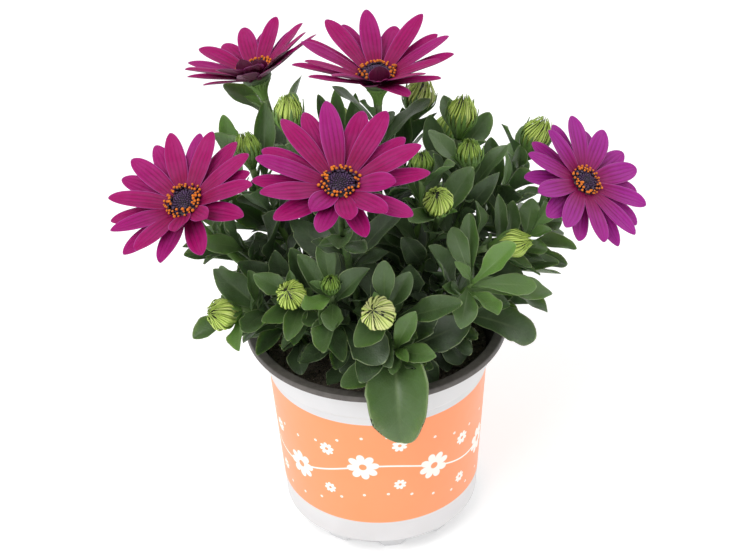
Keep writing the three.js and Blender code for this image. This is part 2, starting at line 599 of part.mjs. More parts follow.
/** Rays, and the shallow bowl of the receptacle that they grow from. */
function raysMesh(bloom) {
  const edge = raySlope(bloom, RECEPTACLE_RADIUS) + RAY_COVER;
  const rings = [
    ring(CUP_SIDES, RECEPTACLE_RADIUS - 0.8, RECEPTACLE_BOTTOM),
    ring(CUP_SIDES, RECEPTACLE_RADIUS, edge),
  ];
  const receptacle = headBody(bloom, rings, RECEPTACLE_BOTTOM, raySlope(bloom, 0) + RAY_COVER);
  const rays = bloom.rays.map(bladeSolid);
  return meshOf(`bloom_${bloom.name}_rays`, fuse([receptacle, ...rays]), RAY_MAGENTA);
}

/** Dome of the flower's disc, seated on the rays, with a ring of florets notched into its edge. */
function discMesh(bloom) {
  const sides = 2 * FLORETS;
  const seat = (distance) => raySlope(bloom, distance) + RAY_COVER + GAP;
  const edge = seat(DISC_RADIUS);
  const rings = [
    ring(sides, DISC_RADIUS - 1, seat(DISC_RADIUS - 1) + 0.2, 0.6),
    ring(sides, DISC_RADIUS - 0.8, edge + 1.2, 1, 0.8),
    ring(sides, DISC_RADIUS - 3, edge + 1.6, 0.2, 0.5),
    ring(sides, DISC_RADIUS - 5.4, edge + DISC_HEIGHT - 1.4, 0.2, 0.3),
  ];
  const dome = headBody(bloom, rings, seat(0), edge + DISC_HEIGHT - 0.8);
  return meshOf(`bloom_${bloom.name}_disc`, dome, DISC_VIOLET);
}

// ---------------------------------------------------------------- buds

/** Furled rays: a fluted egg with a crown of points, sitting on the zigzag top of its bracts. */
function budMesh(bud) {
  const { radius, height } = bud;
  const low = cupFloor(bud) + BRACT_GAP;
  const rings = [
    ring(CUP_SIDES, radius * 0.99, low, 0, height * BRACT_RISE),
    ring(CUP_SIDES, radius * 0.9, height * 0.18, radius * 0.14),
    ring(CUP_SIDES, radius * 0.46, height * 0.36, radius * 0.16, height * 0.12),
  ];
  return meshOf(`bud_${bud.name}`, headBody(bud, rings, low, height * 0.32), BUD_GREEN);
}

// ---------------------------------------------------------------- leaves

/** Leaf on a stem: it is turned round the stem by `turn` degrees and leans away from it by `lean`. */
function leafOn(plant, { share, turn, lean, length, bend }) {
  const tangent = plant.curve.getTangentAt(share);
  const out = new THREE.Vector3(plant.head.x, plant.head.y, 0);
  out.addScaledVector(tangent, -out.dot(tangent)).normalize().applyAxisAngle(tangent, radians(turn));
  const angle = radians(lean);
  const along = tangent.clone().multiplyScalar(Math.cos(angle)).addScaledVector(out, Math.sin(angle));
  const up = tangent.clone().multiplyScalar(Math.sin(angle)).addScaledVector(out, -Math.cos(angle));
  const broad = length > BROAD_LENGTH;
  const width = length * (broad ? BROAD_WIDTH : NARROW_WIDTH);
  const outline = broad ? BROAD_LEAF : NARROW_LEAF;
  const root = stemPoint(plant.curve, share);
  return { root, along, up, bend, length, width, thick: LEAF_THICKNESS, outline };
}

/** Leaf from a stem to a given tip, on a round arc that bends away from `up`. */
function leafTo(plant, { share, tip, up: hint, bend, width }) {
  const root = stemPoint(plant.curve, share);
  const chord = vector(tip).sub(root);
  const half = radians(bend / 2);
  const length = chord.length() * half / Math.sin(half);
  chord.normalize();
  const up = vector(hint).addScaledVector(chord, -vector(hint).dot(chord)).normalize();
  const along = chord.clone().multiplyScalar(Math.cos(half)).addScaledVector(up, Math.sin(half));
  up.multiplyScalar(Math.cos(half)).addScaledVector(chord, -Math.sin(half));
  const outline = length > BROAD_LENGTH ? BROAD_LEAF : NARROW_LEAF;
  return { root, along, up, bend, length, width, thick: LEAF_THICKNESS, outline };
}

/** First clear leaf among the one wanted and its turned, tilted and shortened variants, or null. */
function clearLeaf(plant, wish) {
  for (const scale of SCALES) {
    for (const tilt of TILTS) {
      for (const turn of TURNS) {
        const length = wish.length * scale;
        const leaf = leafOn(plant, { ...wish, length, turn: wish.turn + turn, lean: wish.lean + tilt });
        if (isClear(leaf, plant.stem)) return leaf;
      }
    }
  }
  return null;
}

/** Leaves wanted on one stem, from the lowest to the highest, on the golden spiral. */
function leafWishes(plant, order) {
  const rule = LEAF_RULES[plant.kind];
  return Array.from({ length: rule.leaves }, (_, i) => {
    const height = i / (rule.leaves - 1);
    const blend = (low, high) => low + (high - low) * height;
    const n = 1000 + 40 * order + i;
    return {
      share: blend(rule.from, rule.to),
      turn: NEXT_STEM_TURN * order + GOLDEN_ANGLE * i + scatter(TURN_SCATTER, n),
      lean: blend(rule.lean, rule.close) + scatter(LEAN_SCATTER, n + 0.25),
      length: blend(rule.reach, rule.end) * (1 + scatter(LENGTH_SCATTER, n + 0.5)),
      bend: blend(...LEAF_BEND) + scatter(BEND_SCATTER, n + 0.75),
    };
  });
}

/** Lays every leaf: the chosen ones first, then round after round of the highest leaf left on each stem. */
function layLeaves(plants) {
  for (const chosen of CHOSEN_LEAVES) {
    const plant = plants.find(({ stem }) => stem === chosen.stem);
    const leaf = leafTo(plant, chosen);
    plant.leaves.push(leaf);
    keepPoints(leaf, plant.stem);
  }
  const wishes = plants.map((plant, order) => leafWishes(plant, order).slice(BARE[plant.stem] ?? 0));
  for (let round = 0; round < ROUNDS; round += 1) {
    plants.forEach((plant, order) => {
      const wish = wishes[order].pop();
      const leaf = wish && clearLeaf(plant, wish);
      if (!leaf) return;
      plant.leaves.push(leaf);
      keepPoints(leaf, plant.stem);
    });
  }
}

// ---------------------------------------------------------------- pot and soil solids

/** Radius of the wall's outside between the belt and the shoulder. */
function wallRadius(z) {
  const share = (z - BELT_HEIGHT) / (SHOULDER_HEIGHT - BELT_HEIGHT);
  return BELT_RADIUS + (SHOULDER_RADIUS - BELT_RADIUS) * share;
}

/** Outline of the pot, from the middle of its pad up the outside, over the rim and back down the inside. */
function potProfile() {
  const top = POT_HEIGHT;
  const lip = RIM_RADIUS - WALL;
  const sill = FLOOR_HEIGHT + WALL;
  return [
    [0, 0], [PAD_RADIUS, 0], [PAD_RADIUS + 1, FLOOR_HEIGHT],
    [FOOT_RADIUS - FOOT_WIDTH - TAPER, FLOOR_HEIGHT], [FOOT_RADIUS - FOOT_WIDTH, 0],
    [FOOT_RADIUS, 0], [FOOT_RADIUS + 1, BELT_HEIGHT - 1.5], [BELT_RADIUS, BELT_HEIGHT],
    [SHOULDER_RADIUS, SHOULDER_HEIGHT], [SHOULDER_RADIUS + SHOULDER_STEP, SHOULDER_HEIGHT + 1.4],
    [MOUTH_RADIUS + WALL - TAPER, top - WALL - 1.5 * TAPER], [lip - TAPER, top - WALL - TAPER],
    [lip, top - RIM_DROP], [RIM_RADIUS, top - RIM_DROP], [RIM_RADIUS - TAPER, top], [MOUTH_RADIUS, top],
    [SHOULDER_RADIUS - WALL, SHOULDER_HEIGHT], [BELT_RADIUS - WALL, BELT_HEIGHT + 0.8],
    [FOOT_RADIUS - 1, sill], [0, sill],
  ];
}

/** Pot with its foot ring notched into feet and the drain holes cut through its floor. */
function potMesh() {
  const cuts = [];
  const notchWidth = 2 * FOOT_RADIUS * Math.sin(radians(NOTCH_ANGLE / 2));
  for (let k = 0; k < FEET; k += 1) {
    cuts.push(new THREE.BoxGeometry(NOTCH_DEPTH, notchWidth, 2 * NOTCH_HEIGHT)
      .translate(FOOT_RADIUS, 0, 0).rotateZ(radians(FIRST_NOTCH + 360 * k / FEET)));
  }
  for (let k = 0; k < DRAINS; k += 1) {
    cuts.push(cylinder(DRAIN_RADIUS, WALL + 2, DRAIN_SIDES, [DRAIN_RING, 0, FLOOR_HEIGHT - 1])
      .rotateZ(2 * Math.PI * k / DRAINS));
  }
  const cup = solidOf(turned(potProfile(), POT_SIDES));
  return meshOf('pot', cuts.reduce((rest, cut) => rest.subtract(solidOf(cut)), cup), POT_WHITE);
}

/** Soil that fills the pot to a low crown, with the holes that the stems stand in. */
function soilMesh(plants) {
  const inner = (z) => wallRadius(z) - WALL - GAP;
  const floor = FLOOR_HEIGHT + WALL + GAP;
  const knee = BELT_HEIGHT + 2;
  const profile = [
    [0, floor], [FOOT_RADIUS - 2, floor], [inner(knee) - GAP, knee],
    [inner(SHOULDER_HEIGHT), SHOULDER_HEIGHT], [inner(SHOULDER_HEIGHT) + 1, SOIL_HEIGHT],
    [0, SOIL_HEIGHT + SOIL_CROWN],
  ];
  const filling = solidOf(turned(profile, SOIL_SIDES));
  return meshOf('soil', plants.reduce((rest, plant) => rest.subtract(stemHole(plant)), filling), PEAT);
}

/** Straight hole that a stem stands in: it follows the first stretch of the stem. */
function stemHole({ kind, curve }) {
  const foot = curve.getPointAt(0);
  const axis = curve.getPointAt(1 / STEM_STEPS).sub(foot);
  const radius = (STEM_RADIUS[kind] * STEM_FOOT + 1.3 * GAP) / Math.cos(Math.PI / HOLE_SIDES);
  const length = axis.length() + 4 * GAP;
  const turn = new THREE.Quaternion().setFromUnitVectors(new THREE.Vector3(0, 0, 1), axis.normalize());
  const hole = cylinder(radius, length, HOLE_SIDES, [0, 0, -GAP]).applyQuaternion(turn);
  return solidOf(hole.translate(foot.x, foot.y, foot.z));
}

// ---------------------------------------------------------------- the whole plant

/** Stems with their heads and leaves, each kept clear of the others. */
function growPlant() {
  const plants = planStems();
  for (const plant of plants) {
    const { kind, head, facing, radius, height } = plant;
    const owner = `head_${plant.stem}`;
    plant.leaves = [];
    keepStem(plant);
    if (kind === 'bud') {
      const axis = facing.clone().multiplyScalar(height / 2 - radius * 0.8);
      keepRod(head.clone().sub(axis), head.clone().add(axis), radius, owner);
    }
    if (kind === 'bloom') {
      plant.rays = rayBlades(plant);
      plant.rays.forEach((ray) => keepPoints(ray, owner));
      keepRod(head.clone().addScaledVector(facing, -3), head, RECEPTACLE_RADIUS, owner);
    }
  }
  layLeaves(plants);
  return plants;
}

/** Stem and its leaves in one piece. */
function shootMesh(plant) {
  const leaves = plant.leaves.map(bladeSolid);
  return meshOf(`shoot_${plant.stem}`, fuse([stemSolid(plant), ...leaves]), LEAF_GREEN);
}

const plants = growPlant();
const model = new THREE.Group();
model.add(potMesh(), soilMesh(plants));
for (const plant of plants) {
  model.add(shootMesh(plant));
  if (plant.kind === 'bloom') model.add(raysMesh(plant), discMesh(plant));
  if (plant.kind === 'bud') model.add(budMesh(plant));
}

export default model;
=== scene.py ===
"""Looks of a flowering osteospermum in its nursery pot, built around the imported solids.

The leaves, rays, buds and florets follow the same layout rules as the solids, in millimetres, and are
turned into metres when a mesh is made. Every surface is a formula over a grid of numbers.
"""

import functools
import math
from types import SimpleNamespace

import bpy
import numpy as np
from bpy.props import FloatProperty, FloatVectorProperty, IntProperty, PointerProperty
from mathutils import Matrix, Vector


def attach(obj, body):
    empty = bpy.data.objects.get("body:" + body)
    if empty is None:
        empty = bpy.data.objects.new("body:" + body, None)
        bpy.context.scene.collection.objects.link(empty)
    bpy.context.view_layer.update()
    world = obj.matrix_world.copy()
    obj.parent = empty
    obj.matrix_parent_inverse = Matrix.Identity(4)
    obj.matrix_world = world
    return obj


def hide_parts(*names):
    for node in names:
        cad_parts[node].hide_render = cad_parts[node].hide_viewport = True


bl_info = {
    "name": "Potted Osteospermum",
    "version": (1, 0, 0),
    "blender": (4, 5, 0),
    "location": "View3D > Sidebar > Plant",
    "description": "Builds a flowering osteospermum in a nursery pot from formulas",
    "category": "Add Mesh",
}

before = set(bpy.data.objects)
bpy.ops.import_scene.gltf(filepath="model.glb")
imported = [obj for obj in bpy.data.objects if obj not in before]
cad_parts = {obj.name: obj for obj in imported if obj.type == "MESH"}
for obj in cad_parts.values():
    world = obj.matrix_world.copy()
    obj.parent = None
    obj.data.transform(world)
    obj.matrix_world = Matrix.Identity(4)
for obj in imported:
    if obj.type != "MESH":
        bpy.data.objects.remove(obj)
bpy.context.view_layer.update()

MM = 0.001
TURN = 2 * math.pi
BODY = "root"

# ---------------------------------------------------------------- sizes, in millimetres and degrees

POT_HEIGHT = 105.0
WALL = 1.1
RIM_RADIUS = 60.0
RIM_DROP = 2.7
MOUTH_RADIUS = 55.0
SHOULDER_HEIGHT = 86.0
SHOULDER_RADIUS = 50.7
SHOULDER_STEP = 1.6
BELT_HEIGHT = 9.0
BELT_RADIUS = 45.3
FOOT_RADIUS = 38.5
FOOT_WIDTH = 1.4
FLOOR_HEIGHT = 3.0
PAD_RADIUS = 11.0
FEET = 9
NOTCH_ANGLE = 24.0
NOTCH_HEIGHT = 2.8
FIRST_NOTCH = -64.0
DRAINS = 6
DRAIN_RADIUS = 4.0
DRAIN_RING = 24.0
TAPER = 0.4

GAP = 0.35
SOIL_HEIGHT = 92.0
SOIL_CROWN = 2.0
HOLE_DEPTH = 8.0

STEM_STEPS = 4
STEM_RADIUS = {"bloom": 1.7, "bud": 1.45, "tuft": 1.5}
STEM_LEAN = 0.06
STEM_RISE = 0.5
STEM_AIM = 0.35
STEM_FOOT = 1.12
STEM_NECK = 0.88
STEM_SPREAD = 0.38

RAYS = 20
RAY_START = 1.0
RANK_STEP = 1.0
RANK_FLOOR = -0.6
RANK_TILT = (1.0, 8.0)
RANK_LENGTH = (0.97, 1.0)
RAY_SCATTER = 0.5
RAY_BEND = (-2.0, 12.0)
RAY_ROLL = (-3.0, 3.0)
RAY_STRETCH = (0.95, 1.05)
RAY_WIDTH = (9.0, 10.2)
RAY_OUTLINE = ((0, 0), (0.42, 0.88), (0.84, 0.8), (1, 0))
RECEPTACLE_RADIUS = 7.0
NECK = 8.5
BUD_NECK = 0.8

BROAD_WIDTH = 0.4
NARROW_WIDTH = 0.38
BROAD_LEAF = ((0, 0.1), (0.38, 0.5), (0.6, 1), (0.66, 0.88), (0.86, 0.76), (1, 0))
NARROW_LEAF = ((0, 0.12), (0.48, 0.84), (0.82, 0.86), (1, 0))
BROAD_LENGTH = 36.0
GOLDEN_ANGLE = 137.5
NEXT_STEM_TURN = 60.0
TURN_SCATTER = 20.0
LEAN_SCATTER = 10.0
LENGTH_SCATTER = 0.24
LEAF_BEND = (34.0, 16.0)
BEND_SCATTER = 24.0
LEAF_SEED = 1000
SEEDS_PER_STEM = 40

ROUNDS = 6
SAMPLE_STEP = 3.0
CLEAR_OF_OTHERS = 3.5
CLEAR_OF_SISTERS = 2.6
CLEAR_OF_RODS = 1.3
CLEAR_OF_RIM = 3.0
CLEAR_OF_SOIL = 2.0
STALK = 0.35
TURNS = (0, 14, -14, 28, -28, 42, -42, 58, -58, 80, -80)
TILTS = (0, 12, -12, 24)
SCALES = (1, 0.84, 0.7, 0.58)

# name, middle of the head, way it faces, length, lift, first azimuth and seed of its rays, where they are short
BLOOMS = (
    ("left", (-80, -20, 182), (-32, -31, 90), 35.5, 13, 4, 11, {310: 0.8, 265: 0.8}),
    ("back", (-50, 52, 203), (-27, 20, 96), 34, 23, 8, 23, {270: 0.8, 330: 0.8}),
    ("top", (4, 22, 216), (0, 5, 100), 39, 22, 2, 31, {265: 0.72, 345: 0.8}),
    ("front", (-13, -58, 213), (3, -33, 94), 38, 14, 5, 47,
     {238: 0.6, 256: 0.84, 274: 0.78, 292: 0.84, 310: 0.84, 346: 0.64}),
    ("right", (93, 0, 174), (52, -36, 78), 32, 2, 12, 59, {133: 0.85}),
)

# name, middle of the head, way it faces, radius and height
BUDS = (
    ("tall", (-35, 5, 213), (0, 0, 1), 6, 16),
    ("tall_left", (-54, 5, 196), (-1, 0, 6), 5.5, 14),
    ("behind_top", (23, 46, 195), (1, 0, 4), 7, 17),
    ("high_right", (41, 24, 198), (1, -1, 9), 6.3, 18),
    ("young_right", (43, -1, 193), (0, 0, 1), 5.3, 12),
    ("far_right", (75, 30, 182), (4, 0, 9), 6.5, 18),
    ("middle", (28, -30, 187), (0, -5, 8), 6.5, 15),
    ("young_middle", (22, -8, 193), (0, 0, 1), 4.6, 11),
    ("low_right", (62, -20, 157), (10, -2, 3), 6.4, 16),
    ("front_left", (-36, -50, 155), (-1, -8, 6), 6.6, 14),
    ("far_left", (-68, -35, 135), (-6, -6, 3), 7.2, 15),
    ("front", (1, -62, 152), (-2, -8, 5), 7.6, 16),
    ("young_front", (-19, -50, 160), (0, -1, 3), 3.6, 9),
    ("behind", (-14, 60, 174), (-1, 3, 8), 6.2, 16),
    ("behind_right", (36, 68, 164), (2, 4, 6), 6.2, 16),
)

# name, tip and way it points
TUFTS = (
    ("right_front", (42, -42, 152), (3, -5, 8)),
    ("right", (70, -2, 150), (6, 0, 7)),
    ("front", (8, -48, 122), (0, -5, 7)),
    ("left", (-66, -6, 156), (-6, -1, 7)),
    ("left_behind", (-58, 34, 150), (-5, 4, 7)),
    ("behind", (10, 66, 150), (1, 6, 7)),
    ("right_behind", (60, 36, 148), (5, 4, 7)),
)

# leaves tried, stretch of the stem that carries them, lengths and angles to it of the lowest and highest
LEAF_RULES = {
    "bloom": (6, (0.42, 0.88), (44, 30), (48, 30)),
    "bud": (6, (0.46, 0.96), (42, 27), (46, 26)),
    "tuft": (6, (0.42, 1), (42, 26), (52, 26)),
}

# how many of its lowest leaves a stem has lost
BARE = {"bloom_left": 4, "bud_front_left": 1, "bud_far_left": 3, "bud_young_front": 3, "tuft_front": 1,
        "tuft_right_front": 3}

# share of the stem's length, tip, upper side, bend and width of the leaves that give the plant its outline
CHOSEN_LEAVES = {
    "tuft_front": [(0.8, (9, -68, 86), (0, -1, 1), 100, 28), (0.6, (26, -42, 98), (0.3, -1, 0.7), 50, 16)],
    "tuft_right_front": [(0.58, (71, -28, 111), (1, -1, 3), 40, 20), (0.94, (36, -56, 138), (0, -1, 1), 45, 12),
        (0.97, (70, -38, 146), (0.3, -1, 1.6), 30, 11), (0.88, (78, -26, 134), (0.3, -1, 1.6), 30, 12),
        (0.78, (59, -32, 133), (0.5, -1, 1.6), 30, 12), (0.42, (38, -32, 102), (0.4, -1, 0.7), 45, 16),
        (1, (34, -28, 172), (0, -1, 0.5), 26, 10), (0.94, (42, -22, 175), (0, -1, 0.5), 24, 9)],
    "bud_tall_left": [(0.84, (-46, 18, 211), (0, -1, 0.4), 8, 10)],
    "tuft_left_behind": [(1, (-65, 28, 199), (0, -1, 0.6), 26, 10), (0.76, (-68, 6, 169), (0, -1, 1), 34, 13)],
    "bud_young_front": [(0.62, (3, -61, 125), (0, -1, 1.4), 50, 18),
        (0.84, (-33, -36, 166), (0.3, -1, 0.5), 20, 10), (0.93, (-22, -36, 174), (0.2, -1, 0.4), 16, 9),
        (0.88, (-2, -50, 167), (-0.5, -1, 0.9), 30, 10.5), (0.9, (-19, -64, 145), (0, -1, 1), 50, 10)],
    "bud_front_left": [(0.62, (-15, -66, 130), (0.3, -1, 1), 40, 11), (0.8, (-38, -66, 142), (0, -1, 1), 45, 10),
        (0.7, (-49, -58, 147), (0, -1, 1.4), 21, 9), (0.58, (-36, -32, 167), (0, -1, 0.5), 8, 11)],
    "bud_far_left": [(0.5, (-53, -42, 117), (-0.5, -1, 1.4), 40, 9),
        (0.66, (-58, -50, 136), (-0.3, -1, 1.4), 50, 12), (0.76, (-71, -20, 149), (0.6, -1, 0.3), 30, 14),
        (0.9, (-55, -34, 157), (1, -0.6, 0.2), 20, 9), (0.38, (-34, -36, 101), (-0.2, -1, 0.7), 40, 11)],
    "tuft_left": [(0.86, (-74, -22, 164), (0, -1, 1.2), 44, 10), (0.5, (-43, -26, 162), (0, -1, 0.4), 20, 11),
        (0.54, (-60, -24, 155), (0, -1, 0.8), 38, 11)],
    "bud_front": [(0.6, (37, -58, 153), (0, -1, 1.2), 24, 11.5), (0.4, (-17, -44, 108), (-0.2, -1, 0.7), 40, 12),
        (0.5, (2, -40, 163), (0, -1, 0.5), 20, 11.5)],
    "tuft_right": [(0.7, (83, -4, 135), (0, -1, 1.4), 25, 9), (0.88, (77, -10, 146), (0, -1, 1.4), 25, 8),
        (0.96, (79, -8, 155), (0, -1, 1.4), 25, 6), (0.74, (55, -12, 178), (0.5, -1, 0.2), 14, 7),
        (0.82, (62, -4, 169), (0, -1, 0.5), 10, 9), (0.96, (71, 2, 166), (0, -1, 0.5), 20, 10.5)],
    "bud_high_right": [(0.88, (54, 32, 193), (0, -1, 0.4), 8, 11), (0.76, (27, 22, 199), (0, -1, 0.4), 20, 11)],
    "bud_far_right": [(0.74, (54, 24, 185), (0, -1, 0.5), 24, 11), (0.94, (66, 16, 185), (0, -1, 0.5), 20, 8)],
    "bud_young_right": [(0.72, (56, -4, 184), (0, -1, 1), 48, 9)],
    "bud_middle": [(0.4, (15, -42, 163), (0, -1, 0.5), 20, 12.5), (0.62, (12, -30, 169), (0, -1, 0.5), 24, 11)],
    "bud_behind": [(0.82, (-23, 48, 196), (0, -1, 0.4), 24, 8), (0.8, (-15, 58, 193), (0, -1, 0.4), 20, 8),
        (0.84, (-6, 50, 195), (0, -1, 0.4), 20, 8)],
    "bud_behind_top": [(0.8, (15, 34, 196), (0, -1, 0.4), 20, 8)],
    "bloom_right": [(0.78, (85, 8, 149), (0, -1, 0.6), 20, 8)],
}

# ---------------------------------------------------------------- small sums


def draw(n):
    """A number from 0 to 1 that depends on n alone: the fraction of sin(12.9898 n) times 43758.5453."""
    wave = np.sin(np.asarray(n, float) * 12.9898) * 43758.5453
    return wave - np.floor(wave)


def draw_in(bounds, n):
    """A number drawn between two bounds."""
    return bounds[0] + (bounds[1] - bounds[0]) * draw(n)


def scatter(spread, n):
    """A number drawn up to half of the spread away from zero."""
    return spread * (draw(n) - 0.5)


def vec(values):
    """Array of decimal numbers."""
    return np.array(values, float)


def unit(vector):
    """Vector, or each of many, brought to a length of one."""
    return vector / np.linalg.norm(vector, axis=-1, keepdims=True)


def round_angles(count):
    """Angles evenly round a circle."""
    return TURN * np.arange(count) / count


def polar(radius, angle, height):
    """Points (r cos a, r sin a, h)."""
    return np.stack(np.broadcast_arrays(radius * np.cos(angle), radius * np.sin(angle), height), -1)


def low_to_high(share, *bounds):
    """Numbers at one share of the way between their bounds."""
    return [low + (high - low) * share for low, high in bounds]


def smooth(edge0, edge1, value):
    """Smooth step: 3s² - 2s³ of the share s of the way from one edge to the other."""
    share = np.clip((value - edge0) / (edge1 - edge0), 0, 1)
    return share * share * (3 - 2 * share)


def turn_about(vector, axis, angle):
    """Vector turned about a unit axis: v cos a + (k × v) sin a + k (k · v)(1 - cos a)."""
    cos, sin = math.cos(angle), math.sin(angle)
    return vector * cos + np.cross(axis, vector) * sin + axis * np.dot(axis, vector) * (1 - cos)


def frame_facing(facing):
    """Two directions square to a way of facing: the one nearest to +X, and the one a quarter turn on."""
    across = unit(vec((1, 0, 0)) - facing * facing[0])
    return across, np.cross(facing, across)


class Stem:
    """Cubic Bezier curve of a stem, read by the share of its length."""

    def __init__(self, *controls):
        self.controls = controls
        self.times = np.linspace(0, 1, 201)
        steps = np.linalg.norm(np.diff(self.point(self.times), axis=0), axis=1)
        self.lengths = np.concatenate([[0], np.cumsum(steps)])

    def point(self, time):
        """The four control points weighted by (1-t)³, 3t(1-t)², 3t²(1-t) and t³."""
        t = np.asarray(time, float)[..., None]
        a, b, c, d = self.controls
        return (1 - t) ** 3 * a + 3 * (1 - t) ** 2 * t * b + 3 * (1 - t) * t ** 2 * c + t ** 3 * d

    def time(self, share):
        return np.interp(np.asarray(share, float) * self.lengths[-1], self.lengths, self.times)

    def at(self, share):
        return self.point(self.time(share))

    def tangent(self, share):
        time = self.time(share)
        low, high = np.maximum(time - 1e-4, 0), np.minimum(time + 1e-4, 1)
        return unit(self.point(high) - self.point(low))

    def corner(self, share):
        """Point on the straight stretches between the solid stem's rings."""
        step = min(int(share * STEM_STEPS), STEM_STEPS - 1)
        low, high = self.at(step / STEM_STEPS), self.at((step + 1) / STEM_STEPS)
        return low + (high - low) * (share * STEM_STEPS - step)


# ---------------------------------------------------------------- layout: stems, rays and leaves


def plan_stems():
    """Blooms, buds and tufts in one list, each with its curve from the soil to the underside of its head."""
    kinds = (("bloom", BLOOMS, "ray lift phase seed short"), ("bud", BUDS, "radius height"), ("tuft", TUFTS, ""))
    plants = [SimpleNamespace(kind=kind, leaves=[], young=[], **dict(zip(f"name at facing {facts}".split(), row)))
              for kind, rows, facts in kinds for row in rows]
    for order, plant in enumerate(plants):
        plant.order = order
        plant.stem = f"{plant.kind}_{plant.name}"
        plant.facing, plant.head = unit(vec(plant.facing)), vec(plant.at)
        neck = BUD_NECK * plant.height if plant.kind == "bud" else NECK * (plant.kind == "bloom")
        out = plant.head * (1, 1, 0)
        top = plant.head - plant.facing * neck
        foot = out * STEM_SPREAD + (0, 0, SOIL_HEIGHT - HOLE_DEPTH + GAP)
        rise = top[2] - foot[2]
        knee = foot + out * STEM_LEAN + (0, 0, rise * STEM_RISE)
        plant.curve = Stem(foot, knee, top - plant.facing * rise * STEM_AIM, top)
    return plants


def shortening(places, azimuth):
    """Share of its full length that a ray at this azimuth has."""
    for place, share in sorted(places.items()):
        if abs((azimuth - place + 540) % 360 - 180) < 180 / RAYS:
            return share
    return 1


def lifted(bloom, azimuth, lift):
    """Way out from a bloom's axis at an azimuth, and the ways along and up of a blade lifted over its plane."""
    across, upward = frame_facing(bloom.facing)
    angle, start = math.radians(azimuth), math.radians(lift)
    radial = across * math.cos(angle) + upward * math.sin(angle)
    along = radial * math.cos(start) + bloom.facing * math.sin(start)
    return radial, along, np.cross(np.cross(radial, bloom.facing), along)


def ray_blades(bloom):
    """Rays of one bloom in two ranks, evenly spaced with a little seeded unevenness."""
    blades = []
    for i in range(RAYS):
        rank, n = i % 2, bloom.seed + i
        azimuth = bloom.phase + 360 / RAYS * (i + scatter(RAY_SCATTER, n))
        radial, along, up = lifted(bloom, azimuth, bloom.lift + RANK_TILT[rank])
        up = turn_about(up, along, math.radians(draw_in(RAY_ROLL, n + 300)))
        share = shortening(bloom.short, azimuth)
        length = bloom.ray * RANK_LENGTH[rank] * draw_in(RAY_STRETCH, n + 400) * share - RAY_START
        blades.append(SimpleNamespace(
            root=bloom.head + radial * RAY_START + bloom.facing * (RANK_FLOOR + RANK_STEP * rank),
            along=along, up=up, length=length, bend=draw_in(RAY_BEND, n + 200),
            width=draw_in(RAY_WIDTH, n + 500), outline=RAY_OUTLINE, azimuth=azimuth % 360, short=share,
            seed=n))
    return blades


def blade_points(blade):
    """Points spread over a blade's middle plane, each with its share of the length."""
    rows = math.ceil(blade.length / SAMPLE_STEP)
    side = np.cross(blade.along, blade.up)
    places, halves = np.array(blade.outline).T
    bend = math.radians(blade.bend if abs(blade.bend) >= 0.01 else 0.01)
    found, shares = [], []
    for i in range(rows + 1):
        share = i / rows
        turn = bend * share
        reach, drop = math.sin(turn) / bend, (1 - math.cos(turn)) / bend
        centre = blade.root + blade.length * (blade.along * reach - blade.up * drop)
        half = blade.width * np.interp(share, places, halves) / 2
        columns = max(1, math.ceil(half / SAMPLE_STEP - 1e-12))
        steps = np.arange(-columns, columns + 1)[:, None] / columns
        found.append(centre + side * half * steps)
        shares.append(np.full(len(steps), share))
    return np.concatenate(found), np.concatenate(shares)


